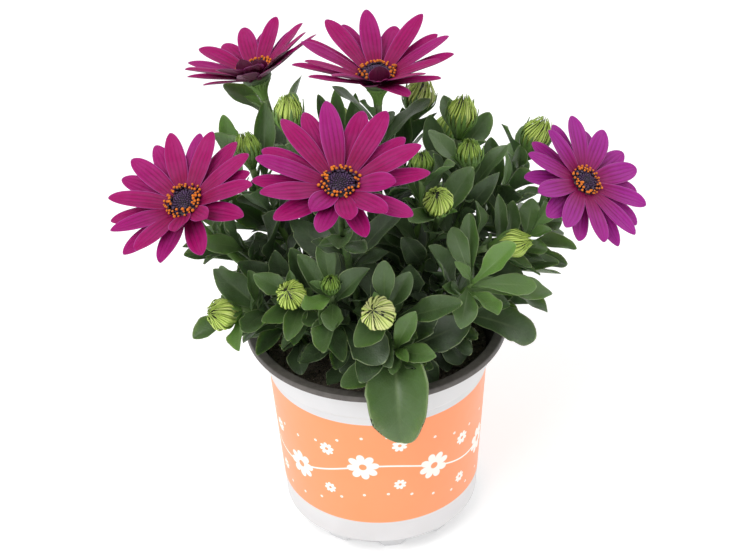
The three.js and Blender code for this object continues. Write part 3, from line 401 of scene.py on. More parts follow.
class Room:
    """What is already laid: points of blades and round rods, each with the number of its owner."""

    def __init__(self):
        self.points = np.zeros((0, 3))
        self.owners = np.zeros(0, int)
        self.rods = []

    def keep_blade(self, blade, owner):
        """Adds the points of a blade to what is laid."""
        points, _ = blade_points(blade)
        self.points = np.concatenate([self.points, points])
        self.owners = np.concatenate([self.owners, np.full(len(points), owner)])

    def keep_rod(self, start, end, radius, owner):
        """Adds a round rod to what is laid."""
        self.rods.append((start, end, radius, owner))

    def clear_of_pot(self, points):
        """Every point is inside the mouth and over the soil, outside the rim, or above it."""
        radius, z = np.hypot(points[:, 0], points[:, 1]), points[:, 2]
        inside = radius < MOUTH_RADIUS - CLEAR_OF_RIM - WALL
        clear = np.where(inside, z > SOIL_HEIGHT + SOIL_CROWN + CLEAR_OF_SOIL, radius > RIM_RADIUS + CLEAR_OF_RIM)
        return bool(np.all(clear | (z > POT_HEIGHT + CLEAR_OF_RIM)))

    def clear_of_rods(self, points, owner, shares, ease):
        """The distance to each rod's nearest point, clamped to its ends, is more than its radius and a gap."""
        start, end = np.array([rod[0] for rod in self.rods]), np.array([rod[1] for rod in self.rods])
        radius, owners = np.array([rod[2] for rod in self.rods]), np.array([rod[3] for rod in self.rods])
        axis = end - start
        share = np.einsum("nmk,mk->nm", points[:, None] - start, axis) / np.sum(axis * axis, axis=1)
        nearest = start + axis * np.clip(share, 0, 1)[..., None]
        distance = np.linalg.norm(points[:, None] - nearest, axis=2)
        own_stalk = (owners == owner) & (shares[:, None] < STALK)
        return bool(np.all(own_stalk | (distance > radius + CLEAR_OF_RODS * ease)))

    def clear_of_points(self, points, owner, shares, ease):
        """Every laid point is further off than the least spacing, except a sister's next to a stalk."""
        middle = points.mean(axis=0)
        reach = np.linalg.norm(points - middle, axis=1).max() + CLEAR_OF_OTHERS
        near = np.linalg.norm(self.points - middle, axis=1) < reach
        others, owners = self.points[near], self.owners[near]
        if not len(others):
            return True
        distance = np.linalg.norm(points[:, None] - others, axis=2)
        sister = owners == owner
        least = np.where(sister, CLEAR_OF_SISTERS, CLEAR_OF_OTHERS) * ease
        own_stalk = sister & (shares[:, None] < STALK)
        return bool(np.all(own_stalk | (distance >= least)))

    def is_clear(self, blade, owner, ease=1.0):
        """The blade is clear of the pot and of all that is laid; the ease shrinks the gaps that are asked for."""
        points, shares = blade_points(blade)
        return (self.clear_of_pot(points) and self.clear_of_rods(points, owner, shares, ease)
                and self.clear_of_points(points, owner, shares, ease))


def new_leaf(plant, share, along, up, length, bend, width=None):
    """Leaf rooted on its stem. The long ones are broad, and the others narrow."""
    broad = length > BROAD_LENGTH
    return SimpleNamespace(root=plant.curve.corner(share), along=along, up=up, length=length, bend=bend,
                           width=width or length * (BROAD_WIDTH if broad else NARROW_WIDTH), broad=broad,
                           outline=BROAD_LEAF if broad else NARROW_LEAF, share=share)


def leaf_on(plant, share, turn, lean, length, bend):
    """Leaf turned round its stem and leaning away from it, both in degrees."""
    tangent = plant.curve.tangent(share)
    out = plant.head * (1, 1, 0)
    out = turn_about(unit(out - tangent * np.dot(out, tangent)), tangent, math.radians(turn))
    angle = math.radians(lean)
    return new_leaf(plant, share, tangent * math.cos(angle) + out * math.sin(angle),
                    tangent * math.sin(angle) - out * math.cos(angle), length, bend)


def leaf_to(plant, share, tip, hint, bend, width):
    """Leaf from a stem to a given tip, on a round arc that bends away from its upper side."""
    chord = vec(tip) - plant.curve.corner(share)
    half = math.radians(bend / 2)
    length = np.linalg.norm(chord) * half / math.sin(half)
    chord = unit(chord)
    up = unit(vec(hint) - chord * np.dot(vec(hint), chord))
    return new_leaf(plant, share, chord * math.cos(half) + up * math.sin(half),
                    up * math.cos(half) - chord * math.sin(half), length, bend, width)


def clear_leaf(room, plant, wish, ease=1.0, scales=SCALES, tilts=TILTS):
    """First clear leaf among the one wanted and its turned, tilted and shortened variants, or None."""
    share, turn, lean, length, bend = wish
    for scale in scales:
        for tilt in tilts:
            for more in TURNS:
                leaf = leaf_on(plant, share, turn + more, lean + tilt, length * scale, bend)
                if room.is_clear(leaf, plant.order, ease):
                    return leaf
    return None


def leaf_wishes(plant):
    """Leaves wanted on one stem, from the lowest to the highest, on the golden spiral."""
    count, stretch, lengths, leans = LEAF_RULES[plant.kind]
    wishes = []
    for i in range(count):
        n = LEAF_SEED + SEEDS_PER_STEM * plant.order + i
        share, length, lean, bend = low_to_high(i / (count - 1), stretch, lengths, leans, LEAF_BEND)
        wishes.append((share, NEXT_STEM_TURN * plant.order + GOLDEN_ANGLE * i + scatter(TURN_SCATTER, n),
                       lean + scatter(LEAN_SCATTER, n + 0.25), length * (1 + scatter(LENGTH_SCATTER, n + 0.5)),
                       bend + scatter(BEND_SCATTER, n + 0.75)))
    return wishes


def lay_leaves(room, plants):
    """Lays the chosen leaves, then round after round of the highest leaf left on each stem."""
    for plant in plants:
        for facts in CHOSEN_LEAVES.get(plant.stem, ()):
            plant.leaves.append(leaf_to(plant, *facts))
            room.keep_blade(plant.leaves[-1], plant.order)
    wishes = [leaf_wishes(plant)[BARE.get(plant.stem, 0):] for plant in plants]
    for _ in range(ROUNDS):
        for plant in plants:
            if not wishes[plant.order]:
                continue
            leaf = clear_leaf(room, plant, wishes[plant.order].pop())
            if leaf:
                plant.leaves.append(leaf)
                room.keep_blade(leaf, plant.order)


# leaves wanted on a stem, stretch, lengths, angles to it, ease of the clearances, turn of the spiral and seed
YOUNG_LEAVES = ((9, (0.34, 0.99), (24.0, 13.0), (52.0, 26.0), 0.55, 35, 9000),
                (9, (0.22, 0.74), (33.0, 22.0), (66.0, 34.0), 0.42, 110, 15000))
YOUNG_STEM_TURN = 97
YOUNG_BEND = 20
YOUNG_SCALES = (1, 0.75)
YOUNG_TILTS = (0, 14)
YOUNG_SCATTER = {"turn": 40, "lean": 16, "length": 0.5, "bend": 50}


def lay_young_leaves(room, plants, count, stretch, lengths, leans, ease, start, seed):
    """Smaller leaves between the full-grown ones, laid closer than those and only where they are clear."""
    for i in range(count):
        for plant in plants:
            n = seed + SEEDS_PER_STEM * plant.order + i
            share, length, lean = [low + (high - low) * i / (count - 1) for low, high in (stretch, lengths, leans)]
            wish = (share,
                    start + YOUNG_STEM_TURN * plant.order + GOLDEN_ANGLE * i + scatter(YOUNG_SCATTER["turn"], n),
                    lean + scatter(YOUNG_SCATTER["lean"], n + 0.25),
                    length * (1 + scatter(YOUNG_SCATTER["length"], n + 0.5)),
                    YOUNG_BEND + scatter(YOUNG_SCATTER["bend"], n + 0.75))
            leaf = clear_leaf(room, plant, wish, ease, YOUNG_SCALES, YOUNG_TILTS)
            if leaf:
                plant.young.append(leaf)
                room.keep_blade(leaf, plant.order)


@functools.lru_cache(maxsize=None)
def laid_plants():
    """Stems with their heads and leaves, each kept clear of the others."""
    plants = plan_stems()
    room = Room()
    for plant in plants:
        points = plant.curve.point(np.linspace(0, 1, 2 * STEM_STEPS + 1))
        for start, end in zip(points[:-1], points[1:]):
            room.keep_rod(start, end, STEM_RADIUS[plant.kind], plant.order)
        owner = 100 + plant.order
        if plant.kind == "bud":
            axis = plant.facing * (plant.height / 2 - plant.radius * 0.8)
            room.keep_rod(plant.head - axis, plant.head + axis, plant.radius, owner)
        if plant.kind == "bloom":
            plant.rays = ray_blades(plant)
            for ray in plant.rays:
                room.keep_blade(ray, owner)
            room.keep_rod(plant.head - plant.facing * 3, plant.head, RECEPTACLE_RADIUS, owner)
    lay_leaves(room, plants)
    for rule in YOUNG_LEAVES:
        lay_young_leaves(room, plants, *rule)
    return plants


# ---------------------------------------------------------------- surfaces as arrays


class Surfaces:
    """Closed surfaces gathered for one object, with values per point that its materials read."""

    VALUES = ("across", "along", "tone", "under")

    def __init__(self):
        self.parts, self.count = [], 0

    def add_tubes(self, rings, starts, ends, slot=0, place=None, **values):
        """Closed tubes from rings (tubes, rings, corners, 3) that turn to the left round the way along.

        Neighbouring rings are joined by quads, and the first and last ring close on a pole with a fan. The
        material slot is one number, or one for each row of quads. A place is a turn and a shift of all points.
        """
        tubes, rows, corners = rings.shape[:3]
        slots = np.broadcast_to(slot, rows - 1)
        points = np.concatenate([starts[:, None], rings.reshape(tubes, -1, 3), ends[:, None]], axis=1)
        if place:
            points = points @ place[0] + place[1]
        here, following = np.arange(corners), np.roll(np.arange(corners), -1)
        base = 1 + corners * np.arange(rows - 1)[:, None]
        quads = np.stack([base + here, base + following, base + corners + following, base + corners + here], -1)
        last = 1 + corners * (rows - 1)
        first_fan = np.stack([0 * here, 1 + following, 1 + here], -1)
        last_fan = np.stack([0 * here + last + corners, last + here, last + following], -1)
        offsets = (np.arange(tubes) * points.shape[1])[:, None, None]
        quads = (quads.reshape(1, -1, 4) + offsets).reshape(-1, 4)
        fans = (np.concatenate([first_fan, last_fan])[None] + offsets).reshape(-1, 3)
        table = np.zeros((tubes, points.shape[1], len(self.VALUES)))
        for k, key in enumerate(self.VALUES):
            grid = np.broadcast_to(np.asarray(values.get(key, 0.0), float), (tubes, rows, corners))
            table[:, 1:-1, k] = grid.reshape(tubes, -1)
            table[:, 0, k], table[:, -1, k] = grid[:, 0].mean(axis=1), grid[:, -1].mean(axis=1)
        slots = [np.tile(np.repeat(part, corners), tubes) for part in (slots, slots[[0, -1]])]
        self.parts.append((points.reshape(-1, 3), quads + self.count, fans + self.count, *slots,
                           table.reshape(-1, len(self.VALUES))))
        self.count += tubes * points.shape[1]

    def mesh(self, name, materials):
        """Mesh in metres of everything gathered."""
        points, quads, fans, quad_slots, fan_slots, values = [np.concatenate(part) for part in zip(*self.parts)]
        corners = np.concatenate([quads.ravel(), fans.ravel()])
        starts = np.concatenate([4 * np.arange(len(quads)), 4 * len(quads) + 3 * np.arange(len(fans))])
        mesh = bpy.data.meshes.new(name)
        mesh.vertices.add(len(points))
        mesh.vertices.foreach_set("co", (points * MM).ravel())
        mesh.loops.add(len(corners))
        mesh.loops.foreach_set("vertex_index", corners.astype(np.int32))
        mesh.polygons.add(len(starts))
        mesh.polygons.foreach_set("loop_start", starts.astype(np.int32))
        for material in materials:
            mesh.materials.append(material)
        mesh.polygons.foreach_set("material_index", np.concatenate([quad_slots, fan_slots]).astype(np.int32))
        mesh.polygons.foreach_set("use_smooth", np.ones(len(starts), bool))
        mesh.update(calc_edges=True)
        mesh.validate()
        for k, key in enumerate(self.VALUES):
            layer = mesh.attributes.new(key, "FLOAT", "POINT")
            layer.data.foreach_set("value", values[:, k].astype(np.float32))
        return mesh

    def make(self, name, materials, slot, node):
        """Object at the origin with its place in its mesh, riding on the body and standing for its node."""
        piece = bpy.data.objects.new(name, self.mesh(name, materials))
        bpy.context.scene.collection.objects.link(piece)
        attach(piece, BODY)
        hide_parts(node)
        return piece


# how closely the rings of a blade follow each other towards its tip, the last two, the least half width, the
# least bend in radians, how much thinner it is at its edge, and the level of its section that counts as under
CROWDING = 0.92
LAST_SHARES = (0.985, 0.996)
LEAST_HALF = 0.12
LEAST_BEND = 1e-4
EDGE_THINNING = 0.45
UNDER_LEVEL = -0.01


def section(corners, gather):
    """Places across a blade and on its upper or lower face: x = c(1 - g + g c²) for c = cos a, and -sin a."""
    angle = round_angles(corners)
    cos = np.cos(angle)
    return cos * (1 - gather + gather * cos * cos), -np.sin(angle)


def field(blades, key, grid=False):
    """One fact of every blade as an array, shaped to spread over their grids if asked."""
    facts = vec([getattr(blade, key) for blade in blades])
    return facts[:, None, None] if grid else facts


def add_blades(surfaces, blades, grid, outline, relief, thickness, gather):
    """Adds closed blades with their place across, share along, tone and lower side as values.

    The middle line at share t is root + L (sin bt / b along - (1 - cos bt) / b up), a round arc. It is moved
    over at its root by (1 - t)² of the blade's shift, and turns about itself by roll t². Across it the blade
    runs from -1 to 1 times its outline, raised by its relief, with half the thickness above and below.
    """
    rows, corners = grid
    shares = np.append(np.linspace(0, 1, rows + 1)[:-1] ** CROWDING, LAST_SHARES)
    x, face = section(corners, gather)
    length, along, up = field(blades, "length")[:, None], field(blades, "along"), field(blades, "up")
    bend = np.radians(field(blades, "bend"))
    bend = np.where(np.abs(bend) < LEAST_BEND, LEAST_BEND, bend)[:, None]

    def line(t):
        turn = bend * t
        reach, drop = length * np.sin(turn) / bend, length * (1 - np.cos(turn)) / bend
        centre = (field(blades, "root")[:, None] + along[:, None] * reach[..., None]
                  - up[:, None] * drop[..., None] + field(blades, "shift")[:, None] * ((1 - t) ** 2)[:, None])
        normal = up[:, None] * np.cos(turn)[..., None] + along[:, None] * np.sin(turn)[..., None]
        side = np.broadcast_to(np.cross(along, up)[:, None], normal.shape)
        roll = (np.radians(field(blades, "roll"))[:, None] * t ** 2)[..., None]
        return centre, side * np.cos(roll) + normal * np.sin(roll), normal * np.cos(roll) - side * np.sin(roll)

    centre, side, normal = line(shares)
    t = shares[None, :, None]
    half = np.maximum(field(blades, "width", True) / 2 * outline(blades, t, np.sign(x)), LEAST_HALF)
    rise = relief(blades, t, x, half)
    solid = face * thickness / 2 * (1 - EDGE_THINNING * np.abs(x)) * np.sqrt(np.clip(1.02 - t, 0, 1))
    rings = (centre[:, :, None] + side[:, :, None] * (half * x)[..., None]
             + normal[:, :, None] * (rise + solid)[..., None])
    centre, _, normal = line(vec([0, 1]))
    tip = rise[:, -1].mean(axis=1)[:, None]
    surfaces.add_tubes(rings, centre[:, 0], centre[:, 1] + normal[:, 1] * tip, across=x, along=t,
                       tone=field(blades, "tone", True), under=(face < UNDER_LEVEL) * 1.0)


def line_rings(centres, radii, corners):
    """Ribbed rings round a line of centres, square to it, with a frame kept from the plane of its two ends."""
    ahead = unit(np.gradient(centres, axis=0))
    flat = np.cross(ahead[0], ahead[-1])
    flat = unit(flat) if np.linalg.norm(flat) > 1e-3 else vec((0, 1, 0))
    first = unit(flat - ahead * (ahead @ flat)[:, None])
    second = np.cross(ahead, first)
    angle = round_angles(corners)
    spread = radii[:, None] * (1 + RIB_HEIGHT * np.cos(STEM_RIBS * angle))
    return (centres[:, None] + first[:, None] * (np.cos(angle) * spread)[..., None]
            + second[:, None] * (np.sin(angle) * spread)[..., None])


def spike_rings(bases, axes, profile, scales, corners):
    """Round spikes: rings of radius r at height h on each axis for every (h, r) of the profile, and the ends."""
    heights, radii = np.array(profile).T
    across = unit(np.cross(axes, vec((0.3, 0.5, 0.81))))
    second = np.cross(axes, across)
    angle = round_angles(corners)
    ring = across[:, None] * np.cos(angle)[:, None] + second[:, None] * np.sin(angle)[:, None]
    scale = np.asarray(scales, float)[:, None, None, None]
    middle = bases[:, None, None] + axes[:, None, None] * heights[None, :, None, None] * scale
    rings = middle + ring[:, None] * radii[None, :, None, None] * scale
    return rings, middle[:, 0, 0], middle[:, -1, 0]


# the most of an edge that a rounded corner takes
MOST_CUT = 0.45


def rounded(profile, radius, steps):
    """Profile whose corners are cut off at a distance and bridged by the curve (1-s)² a + 2s(1-s) b + s² c."""
    profile = np.array(profile, float)
    found = [profile[:1]]
    shares = np.linspace(0, 1, steps)[:, None]
    for before, corner, after in zip(profile[:-2], profile[1:-1], profile[2:]):
        cut = [min(radius, MOST_CUT * np.linalg.norm(other - corner)) for other in (before, after)]
        start, end = corner + unit(before - corner) * cut[0], corner + unit(after - corner) * cut[1]
        found.append((1 - shares) ** 2 * start + 2 * shares * (1 - shares) * corner + shares ** 2 * end)
    return np.concatenate(found + [profile[-1:]])


def steps_of(profile):
    """Shares of the way along a profile, for its rings."""
    return np.linspace(0, 1, len(profile))[:, None]


def golden_spiral(count, reach):
    """Numbers, distances from the middle and angles of points spread evenly over a disc."""
    k = np.arange(count)
    return k, reach * np.sqrt((k + 0.5) / count), np.radians(GOLDEN_ANGLE) * k


def spaced(count, phase, unevenness, seed):
    """Azimuths spread evenly round an axis, each a little out of place."""
    steps = np.arange(count)
    return phase + TURN * (steps + scatter(unevenness, seed + steps)) / count


def head_place(head, facing, size=1.0):
    """Turn and shift that carry a head's own frame, drawn at a size, to the plant's."""
    return np.stack([*frame_facing(facing), facing]) * size, head


def lathe_rings(profile, sides):
    """Profile of (radius, height) carried round +Z: x = r cos a, y = r sin a. Its ends lie on the axis."""
    rings = polar(profile[1:-1, 0, None], round_angles(sides), profile[1:-1, 1, None])
    starts, ends = [vec([(0, 0, profile[k, 1])]) for k in (0, -1)]
    return rings[None], starts, ends


def ripple(points, scale, seed):
    """Smooth unevenness from -1 to 1: the mean of four crossed sine waves of different lengths."""
    total = 0
    for k in range(4):
        way = unit(vec([draw(seed + 3 * k) - 0.5, draw(seed + 3 * k + 1) - 0.5, draw(seed + 3 * k + 2) - 0.5]))
        total = total + np.sin(points @ way * (1 + 0.7 * k) / scale + 6.28 * draw(seed + 40 + k))
    return total / 4


# ---------------------------------------------------------------- leaves and stems

# first seed, rise of the tone up the stem (for age, and as painted shade on the low leaves), its scatter, rows and
# corners, and thickness of each kind of leaf
LEAF_KINDS = {"leaves": (0, 0.55, 0.3, (24, 20), 1.0), "young": (1700, 0.72, 0.34, (14, 12), 0.75)}

# reach at which a leaf's tip comes out of the plant's shade, the painted light that this adds to its tone, and the
# scatter of its roll
SHADE_EDGE_REACH = (48, 78)
PAINTED_LIGHT_TONE = 0.24
LEAF_ROLL = 44
LEAF_GATHER = 0.5

# widths between which a leaf turns from spoon-shaped to oval
OVAL_WIDTHS = (22, 27)

LOOKS_PER_STEM = 31
STEM_RINGS = 30
STEM_SIDES = 12
STEM_RIBS = 5
RIB_HEIGHT = 0.05
STEM_END = 0.6
STEM_SWELL = {"bloom": 0.3, "bud": 0.25, "tuft": -0.6}


def leaf_outline(leaves, t, side):
    """Half width: a winged stalk that widens by a smooth step and closes by (1 - s^p)^q, with forward teeth.

    The widest leaves have a broad stalk and are widest at the middle, the others past it.
    """
    broad, seed = field(leaves, "broad", True), field(leaves, "seed", True)
    oval = smooth(*OVAL_WIDTHS, field(leaves, "width", True))
    stalk = 0.18 - 0.04 * broad + 0.26 * oval
    peak = 0.69 + 0.02 * broad + 0.1 * (draw(seed) - 0.5) - 0.18 * oval
    rise = stalk + (1 - stalk) * smooth(0, 1, t / peak) ** (1.45 - 0.65 * oval)
    blunt = 0.56 + 0.4 * draw(seed + 0.9) ** 1.5 + 0.05 * oval
    close = np.maximum(0, 1 - np.maximum(0, (t - peak + 0.08) / (1.08 - peak)) ** 2) ** blunt
    count = 3.6 + 1.6 * draw(seed + 0.3)
    saw = np.mod((t - 0.3) * count + 0.5 * draw(seed + 0.5 + 0.2 * side), 1)
    tooth = saw ** 2 * np.where(saw > 0.88, (1 - saw) / 0.12, 1)
    depth = 0.04 + 0.2 * (0.4 + 0.6 * broad) * draw(seed + 0.7) * (1 - 0.6 * oval)
    toothed = smooth(0.36, 0.5, t) * (1 - smooth(0.84, 0.95, t))
    return rise * close * (1 + depth * toothed * (tooth - 0.4))


def leaf_relief(leaves, t, x, half):
    """Height over the middle plane: a channel, a furrow on the midrib, pleats between veins, a waved edge."""
    seed = field(leaves, "seed", True)
    channel = (0.82 - 0.5 * t + 0.6 * (draw(seed + 1) - 0.5)) * half * np.abs(x) ** 1.5
    furrow = -0.32 * np.exp(-(x / 0.13) ** 2) * (1 - t)
    pleats = 0.018 * half * np.cos(TURN * (7 * t - 1.3 * np.abs(x))) * np.abs(x) * (1 - t)
    wave = 0.21 * half * x * np.abs(x) * np.sin(TURN * ((1.2 + draw(seed + 3)) * t + draw(seed + 2)))
    return channel + furrow + pleats + wave


def leaf_tip(leaf):
    """End of a leaf's round arc: root + L (sin b / b along - (1 - cos b) / b up)."""
    bend = math.radians(leaf.bend)
    return leaf.root + leaf.length * (leaf.along * math.sin(bend) - leaf.up * (1 - math.cos(bend))) / bend


def dress_leaf(plant, leaf, seed, rise, spread):
    """Gives a leaf what only the finished one needs: a shift onto the smooth stem, a roll, a seed and a tone.

    The tone grows with the height on the stem, for age and as painted shade on the low leaves deep in the plant,
    and with the reach of the tip out of that shade, as painted light.
    """
    # painted light: a tip out in the open makes the leaf lighter; the height term darkens low leaves as painted
    # shade
    painted_light_share = smooth(*SHADE_EDGE_REACH, np.linalg.norm(leaf_tip(leaf)[:2]))
    tone = rise * leaf.share ** 4 + PAINTED_LIGHT_TONE * painted_light_share + scatter(spread, 1.7 * seed)
    leaf.seed, leaf.tone = seed, np.clip(tone, 0, 1)
    leaf.shift = plant.curve.at(leaf.share) - leaf.root
    leaf.roll = scatter(LEAF_ROLL, seed + 5)


def add_leaves(surfaces, plant):
    """Full-grown leaves with a fine grid, and small young ones with a coarser one."""
    for key, (seed, rise, spread, grid, thickness) in LEAF_KINDS.items():
        leaves = getattr(plant, key)
        for k, leaf in enumerate(leaves):
            dress_leaf(plant, leaf, seed + LOOKS_PER_STEM * plant.order + k, rise, spread)
        if leaves:
            add_blades(surfaces, leaves, grid, leaf_outline, leaf_relief, thickness, LEAF_GATHER)


def add_stem(surfaces, plant):
    """Round stem with five faint ribs: it tapers towards the head, and swells under a bloom or bud."""
    shares = np.linspace(0, 1, STEM_RINGS)
    radii = STEM_RADIUS[plant.kind] * (STEM_FOOT + (STEM_NECK - STEM_FOOT) * shares)
    radii = radii * (1 + STEM_SWELL[plant.kind] * smooth(0.9, 1, shares))
    centres = plant.curve.at(shares)
    rings = line_rings(centres, radii, STEM_SIDES)
    surfaces.add_tubes(rings[None], centres[:1], centres[-1:] + plant.facing * STEM_END, 1,
                       along=shares[:, None], tone=draw(plant.order + 0.4))


# where the last ring of a round blade lies, how its corners gather at the edge, how much thinner it is there,
# its least half width, and the least radius of the body that it hugs
ROUND_END = 0.995
ROUND_GATHER = 0.2
ROUND_THINNING = 0.5
LEAST_ROUND_HALF = 0.1
LEAST_ROUND_RADIUS = 0.6


def add_round_blades(surfaces, slot, tone, head, facing, turns, grid, meridian, width, thickness, ridge, reach,
                     swell, flare, twist=0):
    """Adds blades that hug a body of revolution.

    A blade at azimuth a follows the meridian (r(t), z(t)) for its reach, swollen to its own size and flared
    at its tip. At x across it lies at the azimuth a + twist t + x w(t) / r(t), and stands off the meridian
    along its normal by the ridge (1 - x²) and half its thickness.
    """
    rows, corners = grid
    shares = np.linspace(0, ROUND_END, rows)
    each = np.zeros(len(turns))
    radius, height = meridian(shares * (each + reach)[:, None])
    radius = radius * (each + swell)[:, None] + (each + flare)[:, None] * smooth(0.7, 1, shares)
    slope = np.stack([np.gradient(radius, shares, axis=1), np.gradient(height, shares, axis=1)])
    slope = slope / np.linalg.norm(slope, axis=0)
    x, face = section(corners, ROUND_GATHER)
    x = -x
    half = np.maximum(width(shares), LEAST_ROUND_HALF)[:, None]
    off = ridge * (1 - x * x) * np.minimum(1, half) + face * thickness / 2 * (1 - ROUND_THINNING * np.abs(x))
    spread = radius[..., None] + off * slope[1][..., None]
    level = height[..., None] - off * slope[0][..., None]
    angle = x * half / np.maximum(radius, LEAST_ROUND_RADIUS)[..., None] + np.radians(twist) * shares[:, None]
    angle = turns[:, None, None] + angle
    rings = polar(spread, angle, level)
    surfaces.add_tubes(rings, rings[:, 0].mean(axis=1), rings[:, -1].mean(axis=1), slot, head_place(head, facing),
                       across=x, along=shares[:, None], tone=tone[:, None, None], under=(face < UNDER_LEVEL) * 1.0)


BRACTS = 18
BRACT_GRID = (11, 8)
BRACT_FOOT = 1.5
BRACT_LIGHT = {"bloom": 0.95, "bud": 0.7}


def add_bracts(surfaces, plant):
    """Narrow bracts over a solid funnel: a cup under a bloom, and a sheath round the lower half of a bud.

    The cup opens by t^2.1 and the sheath by a smooth step. A bract is widest at the middle and ends in a point
    by (1 - t³)^0.9.
    """
    if plant.kind == "tuft":
        return
    if plant.kind == "bloom":
        size, low, rise, wide, thick, loose, top = 6.8, -10.5, 9.9, 1.3, 0.5, 0.0, 0.9

        def meridian(t):
            return BRACT_FOOT + (size - BRACT_FOOT) * t ** 2.1, low + rise * t
    else:
        size, height, upright = plant.radius, plant.height, plant.facing[2] ** 4
        low, rise, wide, thick = -0.76 * height, (0.78 + 0.32 * upright) * height, 0.19 * size, 0.45
        loose, top = 0.07 * size * upright, 0.46

        def meridian(t):
            full = (0.83 + 0.14 * upright) * size - 0.7
            return BRACT_FOOT + full * smooth(-0.08, 0.85 - 0.23 * upright, t), low + rise * t

    def width(t):
        return wide * (0.7 + 0.4 * smooth(0, 0.5, t)) * np.maximum(0, 1 - t ** 3) ** 0.9 + 0.05
    radius, level = meridian(np.linspace(0.02, top, 9))
    funnel = vec([(0, low), *zip(radius - 0.1, level), (0, level[-1] + 0.4)])
    light = BRACT_LIGHT[plant.kind]
    surfaces.add_tubes(*lathe_rings(funnel, 24), 1, head_place(plant.head, plant.facing), tone=light + 0.2)
    for rank in range(2):
        turns = spaced(BRACTS // 2, 0.4 + rank * TURN / BRACTS, 0.5, 60 + plant.order)
        add_round_blades(surfaces, 1, light + 0.5 * draw(turns), plant.head, plant.facing, turns, BRACT_GRID,
                         meridian, width, thick, 0.25, 0.7 + 0.3 * draw(turns + 3), 1.02 - 0.04 * rank,
                         loose * (draw(turns + 7) > 0.7))


# ---------------------------------------------------------------- blooms


def ray_outline(rays, t, side):
    """Half width: a narrow claw that opens by a smooth step, closed by (1 - s^p)^q to a blunt point."""
    seed = field(rays, "seed", True)
    peak = 0.6 + 0.1 * (draw(seed + 0.6) - 0.5)
    rise = 0.34 + 0.66 * smooth(0, 1, t / peak) ** 0.75
    past = np.maximum(0, (t - peak) / (1 - peak))
    lean = 1 + 0.05 * side * scatter(2, seed + 0.8) * t
    return rise * np.maximum(0, 1 - past ** 2.3) ** 0.62 * lean


def ray_relief(rays, t, x, half):
    """Height over the middle plane: raised edges, three lengthwise folds that fade out at the tip."""
    seed = field(rays, "seed", True)
    cup = field(rays, "cup", True) * half * x * x
    folds = 0.26 * np.cos(3 * np.pi * x) * smooth(0, 0.25, t) * (1 - smooth(0.7, 1, t))
    wave = 0.05 * half * x * np.sin(TURN * (1.1 * t + draw(seed + 0.1)))
    return cup + folds + wave


# distances out and up at which the small rays that curl over a disc start, what they share, and for each its
# bloom, azimuth, length, angle to the bloom's plane, bend and width
CURL_ROOT = (7.6, 1.4)
# the tone that the curled rays share makes their lower side dark: painted shade
CURL_LOOKS = {"tone": 1.6, "roll": 6, "cup": 0.45}
CURLED_RAYS = (
    ("top", 276, 12, 48, -70, 9.4),
    ("back", 250, 13, 44, -76, 9.6),
    ("back", 285, 11, 40, -72, 10.4),
)

# how much the rays of a bloom lean to violet
VIOLET = {"right": 0.75, "front": 0.1}

# scatter of the tone and roll of a ray, its cup and the scatter of that, and what a short one has more of
TONE_SCATTER = 0.6
ROLL_SCATTER = 16
RAY_CUP = 0.1
CUP_SCATTER = 0.22
SHORT_CUP = 0.5
SHORT_CURL = 26
SHORT_WIDTH = 0.98

RAY_GRID = (24, 22)
RAY_THICKNESS = 0.62
RAY_GATHER = 0.1
RECEPTACLE = ((0, -1.6), (5.4, -1.5), (6.9, -0.2), (6.6, 1.6), (0, 1.9))


def dressed_rays(bloom):
    """Rays of a bloom with what only the finished ones need, and its small curled ones."""
    rays = [SimpleNamespace(**vars(ray)) for ray in bloom.rays]
    for ray in rays:
        ray.shift, ray.tone = np.zeros(3), TONE_SCATTER * draw(ray.seed + 0.9) + VIOLET.get(bloom.name, 0)
        ray.roll = scatter(ROLL_SCATTER, ray.seed + 7)
        ray.cup = RAY_CUP + CUP_SCATTER * draw(ray.seed + 11) + SHORT_CUP * (1 - ray.short)
        if ray.short < 1:
            ray.bend -= SHORT_CURL * draw(ray.seed + 13)
            ray.width *= SHORT_WIDTH
    for name, azimuth, length, lean, bend, width in CURLED_RAYS:
        if name == bloom.name:
            radial, along, up = lifted(bloom, azimuth, lean)
            rays.append(SimpleNamespace(
                root=bloom.head + radial * CURL_ROOT[0] + bloom.facing * CURL_ROOT[1], along=along, up=up,
                length=length, bend=bend, width=width, shift=np.zeros(3), seed=bloom.seed + 77, **CURL_LOOKS))
    return rays


def add_rays(surfaces, bloom):
    """All rays, and the shallow bowl of the receptacle under them."""
    add_blades(surfaces, dressed_rays(bloom), RAY_GRID, ray_outline, ray_relief, RAY_THICKNESS, RAY_GATHER)
    bowl = lathe_rings(rounded(RECEPTACLE, 0.8, 4), 32)
    surfaces.add_tubes(*bowl, 1, head_place(bloom.head, bloom.facing), tone=0.3)


def seat_height(bloom, distance):
    """Height of the rays' upper face over the bloom's plane at a small distance from its axis."""
    return RANK_FLOOR + RANK_STEP + (distance - RAY_START) * math.tan(math.radians(bloom.lift + RANK_TILT[1]))


DOME_RADIUS = 5.6
DOME_HEIGHT = 3.4
CENTRE_FLORETS = 95
DISC_SIZE = {"right": 0.8, "front": 0.92, "left": 0.96}

# number, distance from the axis and share with pollen of each ring of open florets
OPEN_FLORETS = ((16, 5.1, 0.2), (21, 6.3, 0.86), (25, 7.4, 0.97))

# height and radius up a tube, a grain of pollen and a closed floret
TUBE = ((0, 0.5), (0.8, 0.5), (1.7, 0.62), (2.2, 0.86), (2.3, 0.5))
POLLEN = ((0, 0.3), (0.5, 0.34), (0.9, 0.42), (1.2, 0.78), (1.7, 0.84), (2.15, 0.4))
KNOB = ((0, 0.42), (0.35, 0.5), (0.75, 0.4), (1.0, 0.16))


